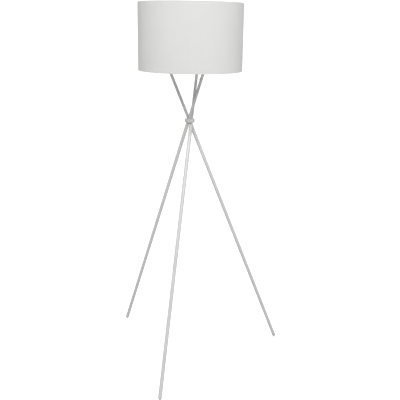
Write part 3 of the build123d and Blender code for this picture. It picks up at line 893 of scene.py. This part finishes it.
def make_feet():
    """A domed cap on the end of each tube, and the upright pad under it."""
    _, _, pad_radius = span("foot_pad_front")
    cap_low, cap_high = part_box("foot_cap_front")
    cap_radius = (cap_high.x - cap_low.x) / 2
    dome = (cap_low.y + cap_radius) / sin_lean
    arc = [
        (cap_radius * math.cos(turn), dome + cap_radius * math.sin(turn))
        for turn in [math.radians(-90 + 7.5 * step) for step in range(1, 13)]
    ]
    outline = [(0.0, dome - cap_radius * CAP_FLAT_SHARE)] + arc
    outline += [
        (cap_radius, lower_start - CAP_SIDE),
        (cap_radius - CAP_EASE, lower_start - FACE_GAP),
        (plug_radius, lower_start - FACE_GAP),
        (plug_radius, lower_start + CAP_SPIGOT),
        (0.0, lower_start + CAP_SPIGOT),
    ]
    pad_top = cap_low.z + PAD_IN_CAP
    pad_outline = [
        (0.0, 0.0),
        (pad_radius - PAD_EASE, 0.0),
        (pad_radius, PAD_EASE),
        (pad_radius, pad_top - PAD_SHOULDER),
        (pad_radius - PAD_NECK, pad_top - PAD_NECK),
        (pad_radius - PAD_NECK, pad_top + PAD_STEM),
        (0.0, pad_top + PAD_STEM),
    ]
    for leg in LEG_TURNS:
        cap = turned_mesh(outline, turned_to(leg) @ leg_place)
        for corner in cap.vertices:
            corner.co.z = max(corner.co.z, cap_low.z)
        piece(f"foot_cap_moulded_{leg}", cap, "stand", "foot_plastic", f"foot_cap_{leg}")
        stand = turned_to(leg) @ Matrix.Translation(foot)
        pad = turned_mesh(eased(pad_outline, 0.25 * MM), stand, 48)
        piece(f"foot_pad_moulded_{leg}", pad, "stand", "foot_rubber", f"foot_pad_{leg}")


make_hub()
make_tubes()
make_grommets()
make_sleeves()
make_feet()

# ------------------------------------------------------------------ bracket and its screws
PLATE = 3.0 * MM
TAB_REACH = 12.0 * MM
TAB_RADIUS = 8.5 * MM
ARM_WIDTH = 14.0 * MM
DISC_RADIUS = 22.0 * MM
SCREW_HOLE = 2.6 * MM
NIPPLE_HOLE = 5.1 * MM
WASHER_RADIUS = 6.0 * MM
WASHER_THICKNESS = 1.0 * MM
SCREW_RADIUS = 2.5 * MM
SCREW_LENGTH = 14.0 * MM
SCREW_POINT = 1.5 * MM
HEAD_HEIGHT = 3.0 * MM
HEAD_RADIUS = 4.75 * MM
HEAD_SIDE = 1.2 * MM
BUSH_LENGTH = 16.0 * MM
PLATE_EASE = 0.35 * MM
BEND_LENGTH = 6.0 * MM
BEND_STEPS = 8
RECESS_REACH = 2.3 * MM
RECESS_HALF = 0.5 * MM
RECESS_DEPTH = 1.5 * MM
tab_under = upper_end + FACE_GAP
bracket_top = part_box("top_bracket")[1].z
bracket_under = bracket_top - PLATE
bend_at = tab_under * sin_lean - TAB_REACH * cos_lean


def circle(x, y, radius, count):
    """Points round a circle, in the plane of a flat plate."""
    turns = [math.tau * step / count for step in range(count)]
    return [Vector((x + radius * math.cos(turn), y + radius * math.sin(turn))) for turn in turns]


def flat_plate(outlines, holes, thickness, ease):
    """A flat plate that covers all the outlines, less the holes, with eased edges."""
    points = []
    faces = []
    for outline in outlines + holes:
        faces.append(list(range(len(points), len(points) + len(outline))))
        points.extend(outline)
    found, _, triangles, _, _, sources = delaunay_2d_cdt(points, [], faces, 1, 1e-7)
    mesh = bmesh.new()
    corners = [mesh.verts.new((point.x, point.y, 0.0)) for point in found]
    for triangle, source in zip(triangles, sources):
        if source and max(source) < len(outlines):
            mesh.faces.new([corners[index] for index in triangle])
    loose = [corner for corner in mesh.verts if not corner.link_faces]
    bmesh.ops.delete(mesh, geom=loose, context="VERTS")
    bmesh.ops.dissolve_limit(mesh, angle_limit=math.radians(1), verts=mesh.verts, edges=mesh.edges)
    bmesh.ops.triangulate(mesh, faces=mesh.faces)
    raised = bmesh.ops.extrude_face_region(mesh, geom=mesh.faces[:])["geom"]
    top = [item for item in raised if isinstance(item, bmesh.types.BMVert)]
    bmesh.ops.translate(mesh, verts=top, vec=(0.0, 0.0, thickness))
    bmesh.ops.recalc_face_normals(mesh, faces=mesh.faces)
    rims = [edge for edge in mesh.edges if edge.is_manifold and edge.calc_face_angle() > math.radians(60)]
    bmesh.ops.bevel(mesh, geom=rims, offset=ease, segments=2, profile=0.5, affect="EDGES")
    return mesh


def make_bracket():
    """One plate with a disc in the middle and three arms whose ends bend down square to the tubes."""
    outlines = [circle(0.0, 0.0, DISC_RADIUS, 72)]
    holes = [circle(0.0, 0.0, NIPPLE_HOLE, 40)]
    for turn in LEG_TURNS.values():
        spin = Matrix.Rotation(math.radians(turn), 2)
        low = leg_offset - ARM_WIDTH / 2
        high = leg_offset + ARM_WIDTH / 2
        end = bend_at + TAB_REACH
        arm = [Vector((low, 0.0)), Vector((high, 0.0)), Vector((high, end)), Vector((low, end))]
        outlines.append([spin @ corner for corner in arm])
        outlines.append([spin @ corner for corner in circle(leg_offset, end, TAB_RADIUS, 56)])
        holes.append([spin @ corner for corner in circle(leg_offset, end, SCREW_HOLE, 32)])
    mesh = flat_plate(outlines, holes, PLATE, PLATE_EASE)
    arc_radius = BEND_LENGTH / lean
    arc_start = bend_at - arc_radius * math.tan(lean / 2)
    for turn in LEG_TURNS.values():
        spin = Matrix.Rotation(math.radians(turn), 4, "Z")
        along = spin @ Vector((0.0, 1.0, 0.0))
        for step in range(BEND_STEPS + 1):
            bmesh.ops.bisect_plane(
                mesh,
                geom=mesh.verts[:] + mesh.edges[:] + mesh.faces[:],
                plane_co=along * (arc_start + BEND_LENGTH * step / BEND_STEPS),
                plane_no=along,
            )
        for corner in mesh.verts:
            flat = spin.inverted() @ corner.co
            if flat.y < arc_start:
                continue
            past = flat.y - arc_start
            turned = lean * min(past / BEND_LENGTH, 1.0)
            beyond = max(past - BEND_LENGTH, 0.0)
            y = arc_start + arc_radius * math.sin(turned) + beyond * math.cos(turned)
            z = -arc_radius * (1 - math.cos(turned)) - beyond * math.sin(turned)
            bent = Vector((flat.x, y + flat.z * math.sin(turned), z + flat.z * math.cos(turned)))
            corner.co = spin @ bent
    mesh.transform(Matrix.Translation((0.0, 0.0, bracket_under)))
    piece("top_bracket_plate", plain_mesh(mesh), "stand", "white_paint", "top_bracket")


def cross_cutter(reach, half, depth, top):
    """A tapered cross that cuts a driver recess."""
    mesh = bmesh.new()
    levels = []
    for level, size in ((top + depth, 1.0), (top, 1.0), (top - depth, 0.45)):
        ring = []
        for quarter in range(4):
            spin = Matrix.Rotation(math.radians(90 * quarter), 3, "Z")
            for x, y in ((reach * size, -half), (reach * size, half), (half, half)):
                ring.append(mesh.verts.new(spin @ Vector((x, y, 0.0)) + Vector((0.0, 0.0, level))))
        levels.append(ring)
    for ring, after in zip(levels, levels[1:]):
        for step in range(12):
            following = (step + 1) % 12
            mesh.faces.new((ring[step], ring[following], after[following], after[step]))
    mesh.faces.new(levels[0])
    mesh.faces.new(levels[-1])
    return plain_mesh(mesh)


def on_each_leg(name, data, slot, node):
    """Put a mesh made for the front leg on all three legs, as one piece of the stand."""
    copies = grown(ROUND_AXIS, slot, data, Count=len(LEG_TURNS))
    piece(name, copies, "stand", slot, node)


def make_bracket_screws():
    """Pan-head screws with plain washers, and the bushes that they bite into."""
    low = tab_under + PLATE + FACE_GAP
    washer = flat_ring(SCREW_HOLE, WASHER_RADIUS, low, low + WASHER_THICKNESS, 0.2 * MM, leg_place, 48)
    on_each_leg("washers_on_bracket", washer, "plated_steel", "bracket_washers")
    seat = low + WASHER_THICKNESS + FACE_GAP
    point = seat - SCREW_LENGTH
    top = seat + HEAD_HEIGHT
    outline = [(0.0, point), (SCREW_RADIUS * 0.6, point), (SCREW_RADIUS, point + SCREW_POINT)]
    outline += [(SCREW_RADIUS, seat), (HEAD_RADIUS, seat)]
    for step in range(8):
        turn = math.radians(90 - 11.25 * step)
        level = seat + HEAD_SIDE + (HEAD_HEIGHT - HEAD_SIDE) * math.cos(turn)
        outline.append((HEAD_RADIUS * math.sin(turn), level))
    outline.append((0.0, top))
    recess = cross_cutter(RECESS_REACH, RECESS_HALF, RECESS_DEPTH, top)
    screw = cut(turned_mesh(outline, segments=48), recess)
    on_each_leg("screws_on_bracket", moved(screw, leg_place), "plated_steel", "bracket_screws")
    high = tab_under - FACE_GAP
    bore = SCREW_RADIUS + FIT_GAP
    outer = upper_radius - UPPER_WALL - FIT_GAP
    bush = flat_ring(bore, outer, high - BUSH_LENGTH, high, 0.3 * MM, leg_place, 48)
    on_each_leg("bushes_in_tubes", bush, "plated_steel", "top_bushes")


make_bracket()
make_bracket_screws()


# ------------------------------------------------------------------ lampholder
ROOT_BAND = 0.15 * MM
EDGE_BREAK = 0.4 * MM
ROUND_EDGE = 0.6 * MM


def threaded(root, crest, pitch, low, high):
    """A shape that raises a smooth helical thread on the points that lie near the root radius."""

    def shape(angle, reach, level):
        if abs(reach - root) > ROOT_BAND or not low <= level <= high:
            return reach, level
        run = min(1.0, (level - low) / pitch, (high - level) / pitch)
        wave = 0.5 + 0.5 * math.cos(math.tau * (level / pitch) - angle)
        return root + (crest - root) * run * wave, level

    return shape


def rows_between(radius, low, high, count):
    """Closely spaced points up a straight side, for a shape to work on."""
    return [(radius, low + (high - low) * row / count) for row in range(count + 1)]


NIPPLE_BORE = 3.5 * MM
NIPPLE_THREAD = 0.35 * MM
NIPPLE_PITCH = 1.0 * MM
NUT_ACROSS_FLATS = 14.0 * MM
NUT_FACE_SHARE = 0.985


def make_holder_fixings():
    """Threaded nipple through the bracket with its washer and hexagon nut."""
    low, high, radius = span("holder_nipple")
    root = radius - NIPPLE_THREAD
    outline = [(NIPPLE_BORE, low)] + rows_between(root, low, high, 84) + [(NIPPLE_BORE, high)]
    shape = threaded(root, radius, NIPPLE_PITCH, low, high)
    nipple = turned_mesh(outline, segments=48, shape=shape)
    piece("lampholder_nipple", nipple, "stand", "plated_steel", "holder_nipple")
    low, high, outer = span("nut_washer")
    washer = flat_ring(radius + FACE_GAP, outer, low, high, 0.25 * MM)
    piece("washer_under_bracket", washer, "stand", "plated_steel", "nut_washer")
    low, high, _ = span("holder_nut")
    flat = NUT_ACROSS_FLATS / 2
    corner = flat / math.cos(math.radians(30))

    def hexagon(angle, reach, level):
        if reach < flat:
            return reach, level
        sector = (angle + math.radians(30)) % math.radians(60) - math.radians(30)
        side = flat / math.cos(sector)
        past = max(0.0, side - flat * 1.01)
        slope = past * math.tan(math.radians(30))
        return side, level - slope if level > (low + high) / 2 else level + slope

    bore = radius + FIT_GAP
    section = [
        (bore, low + EDGE_BREAK),
        (bore + EDGE_BREAK, low),
        (flat * NUT_FACE_SHARE, low),
        (corner, low),
        (corner, high),
        (flat * NUT_FACE_SHARE, high),
        (bore + EDGE_BREAK, high),
        (bore, high - EDGE_BREAK),
    ]
    nut = turned_mesh(section, segments=72, shape=hexagon)
    piece("lampholder_nut", nut, "stand", "plated_steel", "holder_nut")


def bell(low, high, neck, rim, neck_height, fullness):
    """Outline up a straight neck and out along a round flare to the rim."""
    start = Vector((neck, low + neck_height))
    end = Vector((rim, high))
    chord = end - start
    across = Vector((chord.y, -chord.x)).normalized()
    points = []
    for step in range(17):
        part = step / 16
        points.append(start + chord * part + across * fullness * 4 * part * (1 - part))
    return [Vector((neck, low))] + points


def make_holder():
    """Bell-shaped cap and threaded outer shell of the lampholder."""
    low, high, rim = span("holder_cap")
    wall = 2.0 * MM
    neck = 10.0 * MM
    neck_height = 8.0 * MM
    fullness = 2.2 * MM
    outside = bell(low, high, neck, rim, neck_height, fullness)
    inside = bell(low + wall, high, neck - wall, rim - wall, neck_height, fullness)
    bore = 5.05 * MM
    outline = [(bore, low)] + outside + inside[:0:-1] + [(bore, low + neck_height + wall)]
    cap = turned_mesh(outline, segments=96)
    piece("lampholder_cap", cap, "stand", "holder_plastic", "holder_cap")
    low, high, shoulder = span("holder_shell")
    shoulder_top = low + 3.0 * MM
    root = 18.9 * MM
    crest = 19.7 * MM
    bore = 16.5 * MM
    pitch = 3.0 * MM
    run_out = 0.5 * MM
    eased_in = shoulder - ROUND_EDGE
    start = [(bore, low), (eased_in, low), (shoulder, low + ROUND_EDGE)]
    start += [(shoulder, shoulder_top - ROUND_EDGE), (eased_in, shoulder_top), (root, shoulder_top)]
    side = rows_between(root, shoulder_top + run_out, high - run_out, 96)
    end = [(root - run_out, high), (bore + EDGE_BREAK, high), (bore, high - EDGE_BREAK)]
    shape = threaded(root, crest, pitch, shoulder_top + run_out, high - run_out)
    shell = turned_mesh(start + side + end, segments=96, shape=shape)
    piece("lampholder_shell", shell, "stand", "holder_plastic", "holder_shell")


def make_shade_ring():
    """Screw ring with a flange and grip flutes that clamps the shade on the lampholder."""
    low, high, flange = span("shade_ring")
    flange_top = low + 2.5 * MM
    grip = flange - 2.0 * MM
    bore = 20.1 * MM
    flute_depth = 0.9 * MM
    flute_pairs = 12
    flange_ease = 0.5 * MM

    def flutes(angle, reach, level):
        if reach < grip - 0.7 * MM or level < flange_top - 0.01 * MM:
            return reach, level
        wave = abs(math.sin(flute_pairs * angle))
        return reach - flute_depth * (1 - wave) ** 2, level

    outline = [
        (bore, low + EDGE_BREAK),
        (bore + EDGE_BREAK, low),
        (flange - EDGE_BREAK, low),
        (flange, low + EDGE_BREAK),
        (flange, flange_top - flange_ease),
        (flange - flange_ease, flange_top),
        (grip, flange_top),
        (grip, high - ROUND_EDGE),
        (grip - ROUND_EDGE, high),
        (bore + EDGE_BREAK, high),
        (bore, high - EDGE_BREAK),
    ]
    ring = turned_mesh(outline, segments=288, shape=flutes)
    piece("shade_clamp_ring", ring, "shade_ring", "holder_plastic", "shade_ring")


# ------------------------------------------------------------------ bulb
GLOBE_NECK = 17.0 * MM
GLOBE_WALL = 1.0 * MM
HOUSING_FOOT = 14.1 * MM
HOUSING_EASE = 0.8 * MM
CAP_THREAD_DEPTH = 0.9 * MM
CAP_WALL = 0.6 * MM
CAP_PITCH = 3.6 * MM


def globe_side(inset, centre, radius, neck, neck_height):
    """Outline of the glass from its top, round the globe and down the throat to the neck."""
    radius -= inset
    neck -= inset
    shoulder = math.radians(-40)
    points = [(0.0, centre + radius)]
    for step in range(1, 33):
        turn = math.radians(90) + (shoulder - math.radians(90)) * step / 32
        points.append((radius * math.cos(turn), centre + radius * math.sin(turn)))
    start = Vector(points[-1])
    end = Vector((neck, neck_height))
    pull = (start - end).length
    leave = Vector((math.sin(shoulder), -math.cos(shoulder))) * pull
    arrive = Vector((0.0, -1.0)) * pull
    for step in range(1, 13):
        t = step / 12
        spot = start * (2 * t**3 - 3 * t**2 + 1) + leave * (t**3 - 2 * t**2 + t)
        spot += end * (3 * t**2 - 2 * t**3) + arrive * (t**3 - t**2)
        points.append(tuple(spot))
    return points


def make_bulb():
    """Opal globe, its plastic housing, the screw cap, and the insulator with its contact button."""
    low, high, radius = span("bulb_globe")
    centre = high - radius
    outside = globe_side(0.0, centre, radius, GLOBE_NECK, low)
    inside = globe_side(GLOBE_WALL, centre, radius, GLOBE_NECK, low)
    glass = turned_mesh(outside + inside[::-1], segments=96)
    piece("bulb_glass", glass, "bulb", "opal_glass", "bulb_globe")
    low, high, wide = span("bulb_collar")
    outline = [(0.0, low), (HOUSING_FOOT, low), (wide, high), (0.0, high)]
    collar = turned_mesh(eased(outline, HOUSING_EASE, 5), segments=96)
    piece("bulb_housing", collar, "bulb", "bulb_plastic", "bulb_collar")
    low, high, crest = span("bulb_cap")
    root = crest - CAP_THREAD_DEPTH
    inner = root - CAP_WALL
    side = rows_between(root, low, high, 84)
    shape = threaded(root, crest, CAP_PITCH, low, high)
    cap = turned_mesh([(inner, low)] + side + [(inner, high)], segments=96, shape=shape)
    piece("bulb_screw_cap", cap, "bulb", "nickel", "bulb_cap")
    low, high, wide = span("bulb_insulator")
    tip_low, tip_high, tip = span("bulb_tip_contact")
    outline = [(0.0, low), (tip, low), (tip + 0.6 * MM, low + 0.8 * MM)]
    outline += [(wide, high - 0.6 * MM), (wide, high), (0.0, high)]
    insulator = turned_mesh(eased(outline, EDGE_BREAK), segments=72)
    piece("bulb_base_insulator", insulator, "bulb", "black_glass", "bulb_insulator")
    button = [(0.0, tip_low), (tip * 0.5, tip_low + 0.08 * MM), (tip * 0.85, tip_low + 0.35 * MM)]
    button += [(tip, tip_high - 0.1 * MM), (tip, tip_high), (0.0, tip_high)]
    piece("bulb_tip", turned_mesh(button), "bulb", "nickel", "bulb_tip_contact")


make_holder_fixings()
make_holder()
make_shade_ring()
make_bulb()

# ------------------------------------------------------------------ shade
shade_low, shade_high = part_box("shade_fabric")
shade_radius = (shade_high.x - shade_low.x) / 2
CLOTH = 0.5 * MM
WIRE_RADIUS = 1.5 * MM
wire_low, wire_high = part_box("shade_bottom_wire")
wire_circle = (wire_high.x - wire_low.x) / 2 - WIRE_RADIUS
wire_bottom = (wire_low.z + wire_high.z) / 2
top_low, top_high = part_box("shade_top_wire")
wire_top = (top_low.z + top_high.z) / 2
SEAM_AZIMUTH = 105.0
SEAM_WIDTH = 12.0 * MM
SEAM_STEP = 0.35 * MM
SEAM_EDGE = 0.25 * MM
WAVINESS = 0.10 * MM
DRUM_SEGMENTS = 224
LINER_WALL = 0.5 * MM


def seam_angles(radius):
    """Angles round the drum, with close ones at the edges of the overlap seam."""
    seam = math.radians(SEAM_AZIMUTH)
    half = SEAM_WIDTH / 2 / radius
    step_width = SEAM_EDGE / radius
    close = [seam + side * (half + shift * step_width) for side in (-1, 1) for shift in (-2, -1, 0, 1, 2)]
    even = [math.tau * step / DRUM_SEGMENTS for step in range(DRUM_SEGMENTS)]
    kept = [angle for angle in even if abs(angle - seam) > half + 3 * step_width]
    return sorted(kept + close), seam, half, step_width


def drum_sheet(section, seam_step):
    """A closed sheet turned from a section, with a lapped seam, slight waves and a UV map in metres."""
    reference = section[0][0]
    angles, seam, half, step_width = seam_angles(reference)
    mesh = bmesh.new()
    uv_layer = mesh.loops.layers.uv.new("UVMap")
    lengths = [0.0]
    for before, after in zip(section, section[1:] + section[:1]):
        lengths.append(lengths[-1] + math.dist(before, after))
    columns = []
    for angle in angles:
        inside = max(0.0, min(1.0, (half - abs(angle - seam)) / (2 * step_width) + 0.5))
        lift = seam_step * inside
        column = []
        for radius, height in section:
            broad = math.sin(3 * angle + 9.0 * height)
            narrow = math.sin(7 * angle - 23.0 * height + 1.0)
            wave = WAVINESS * (broad + 0.6 * narrow)
            reach = radius + wave + (lift if radius > reference - CLOTH / 2 else 0.0)
            column.append(mesh.verts.new(polar(angle, reach, height)))
        columns.append(column)
    for index, column in enumerate(columns):
        after = columns[(index + 1) % len(columns)]
        start = angles[index]
        end = angles[(index + 1) % len(columns)] + (math.tau if index == len(columns) - 1 else 0.0)
        for row in range(len(section)):
            below = (row + 1) % len(section)
            face = mesh.faces.new((column[row], after[row], after[below], column[below]))
            spots = ((start, row), (end, row), (end, row + 1), (start, row + 1))
            for loop, (angle, place) in zip(face.loops, spots):
                loop[uv_layer].uv = (angle * reference, lengths[place])
    return plain_mesh(mesh)


HEM_CORNER = 1.2 * MM


def hem_arc(centre_height, upward):
    """Quarter turns of the cloth round an edge wire, from the drum's side to its inside."""
    side = 1.0 if upward else -1.0
    edge = shade_high.z if upward else shade_low.z
    outer = []
    for step in range(9):
        turn = math.radians(90 * step / 8)
        across = HEM_CORNER * math.cos(turn)
        up = side * HEM_CORNER * math.sin(turn)
        outer.append((shade_radius - HEM_CORNER + across, edge - side * HEM_CORNER + up))
    roll = WIRE_RADIUS + CLOTH + 0.1 * MM
    inner = []
    for step in range(1, 12):
        turn = math.radians(90 + 12.5 * step)
        inner.append((wire_circle + roll * math.cos(turn), centre_height + side * roll * math.sin(turn)))
    return outer + inner


def inset(outline):
    """A hem outline moved in by the cloth's thickness, towards its wire."""
    moved_in = []
    for index, point in enumerate(outline):
        before = Vector(outline[max(index - 1, 0)])
        after = Vector(outline[min(index + 1, len(outline) - 1)])
        along = (after - before).normalized()
        centre = Vector((wire_circle, wire_bottom if point[1] < (wire_bottom + wire_top) / 2 else wire_top))
        across = Vector((-along.y, along.x))
        if across.dot(centre - Vector(point)) < 0:
            across = -across
        moved_in.append(tuple(Vector(point) + across * CLOTH))
    return moved_in


def make_cloth():
    """Cloth skin of the drum, rolled round the edge wires and tucked in behind them."""
    bottom = hem_arc(wire_bottom, False)
    top = hem_arc(wire_top, True)
    rows = 22
    wall_low = bottom[0][1] + 1.0 * MM
    wall_high = top[0][1] - 1.0 * MM
    side = [(shade_radius, wall_low + (wall_high - wall_low) * row / rows) for row in range(rows + 1)]
    inner_side = [(radius - CLOTH, height) for radius, height in side]
    section = side + top + inset(top)[::-1] + inner_side[::-1] + inset(bottom) + bottom[::-1]
    skin = drum_sheet(section, SEAM_STEP)
    cloth = piece("shade_cloth_skin", skin, "shade", "shade_fabric", "shade_fabric")


def make_liner():
    """Stiff white sheet inside the cloth, lapped at the back."""
    low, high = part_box("shade_liner")
    outer = (high.x - low.x) / 2 - 0.3 * MM
    inner = outer - LINER_WALL
    rows = 12
    heights = [low.z + (high.z - low.z) * row / rows for row in range(rows + 1)]
    section = [(outer, height) for height in heights] + [(inner, height) for height in heights[::-1]]
    sheet = drum_sheet(section, 0.0)
    piece("shade_liner_sheet", sheet, "shade", "shade_liner", "shade_liner")


def edge_path(points, closed=False):
    """A chain of edges for the wire tree to follow."""
    mesh = bpy.data.meshes.new("path")
    count = len(points) if closed else len(points) - 1
    mesh.from_pydata(points, [(step, (step + 1) % len(points)) for step in range(count)], [])
    return mesh


def make_wires():
    """Wire rings that hold the two edges of the drum round."""
    for name, height in (("bottom", wire_bottom), ("top", wire_top)):
        round_path = [polar(math.tau * step / 180, wire_circle, height) for step in range(180)]
        ring = grown(WIRE, "plated_steel", edge_path(round_path, True), Radius=WIRE_RADIUS, Bend=0.0)
        piece(f"edge_wire_{name}", ring, "shade", "plated_steel", f"shade_{name}_wire")


ARM_RADIUS = 2.0 * MM
FITTER_HOLE = 21.0 * MM
FITTER_RADIUS = 31.0 * MM
FITTER_PLATE = 2.0 * MM
FITTER_EASE = 0.5 * MM
ARM_COUNT = 3
ARM_START = 28.5 * MM
ARM_FLAT_IN = 14.0 * MM
ARM_FLAT_OUT = 26.0 * MM
ARM_BEND = 30.0 * MM


def weld_bead(place, size):
    """A small squashed bead of weld."""
    mesh = bmesh.new()
    bmesh.ops.create_uvsphere(mesh, u_segments=16, v_segments=10, radius=1.0)
    mesh.transform(Matrix.Translation(place) @ Matrix.Diagonal((*size, 1.0)))
    return plain_mesh(mesh)


def make_spider():
    """Pressed fitter ring with three wire arms that dip to the bottom wire."""
    ring_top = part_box("shade_ring")[0].z - 0.3 * MM
    ring_low = ring_top - FITTER_PLATE
    ring = flat_ring(FITTER_HOLE, FITTER_RADIUS, ring_low, ring_top, FITTER_EASE, segments=96)
    middle = (ring_low + ring_top) / 2
    end_height = wire_bottom + WIRE_RADIUS + ARM_RADIUS + 0.3 * MM
    end = wire_circle - 0.2 * MM
    slope = (end_height - middle) / (end - ARM_START)
    path = [
        (0.0, -ARM_START, middle),
        (0.0, -ARM_START - ARM_FLAT_IN, middle + slope * ARM_FLAT_IN + 0.4 * MM),
        (0.0, -end + ARM_FLAT_OUT, end_height - slope * ARM_FLAT_OUT + 0.5 * MM),
        (0.0, -end, end_height),
    ]
    arm = grown(WIRE, "white_paint", edge_path(path), Radius=ARM_RADIUS, Bend=ARM_BEND)
    inner_bead = weld_bead((0.0, -ARM_START - 1.0 * MM, middle), (2.6 * MM, 2.2 * MM, 1.7 * MM))
    bead_place = (0.0, -end + 1.2 * MM, end_height - 1.4 * MM)
    outer_bead = weld_bead(bead_place, (2.4 * MM, 1.8 * MM, 1.2 * MM))
    arms = grown(ROUND_AXIS, "white_paint", joined(arm, inner_bead, outer_bead), Count=ARM_COUNT)
    piece("spider_frame", joined(ring, arms), "shade", "white_paint", "shade_spider")


make_cloth()
make_liner()
make_wires()
make_spider()

slots = {part["node"]: part["material_slot"] for part in frame["record"]["subparts"]}
for node, shown in frame["nodes"].items():
    shown.data.materials.clear()
    shown.data.materials.append(MATERIALS[slots[node]])
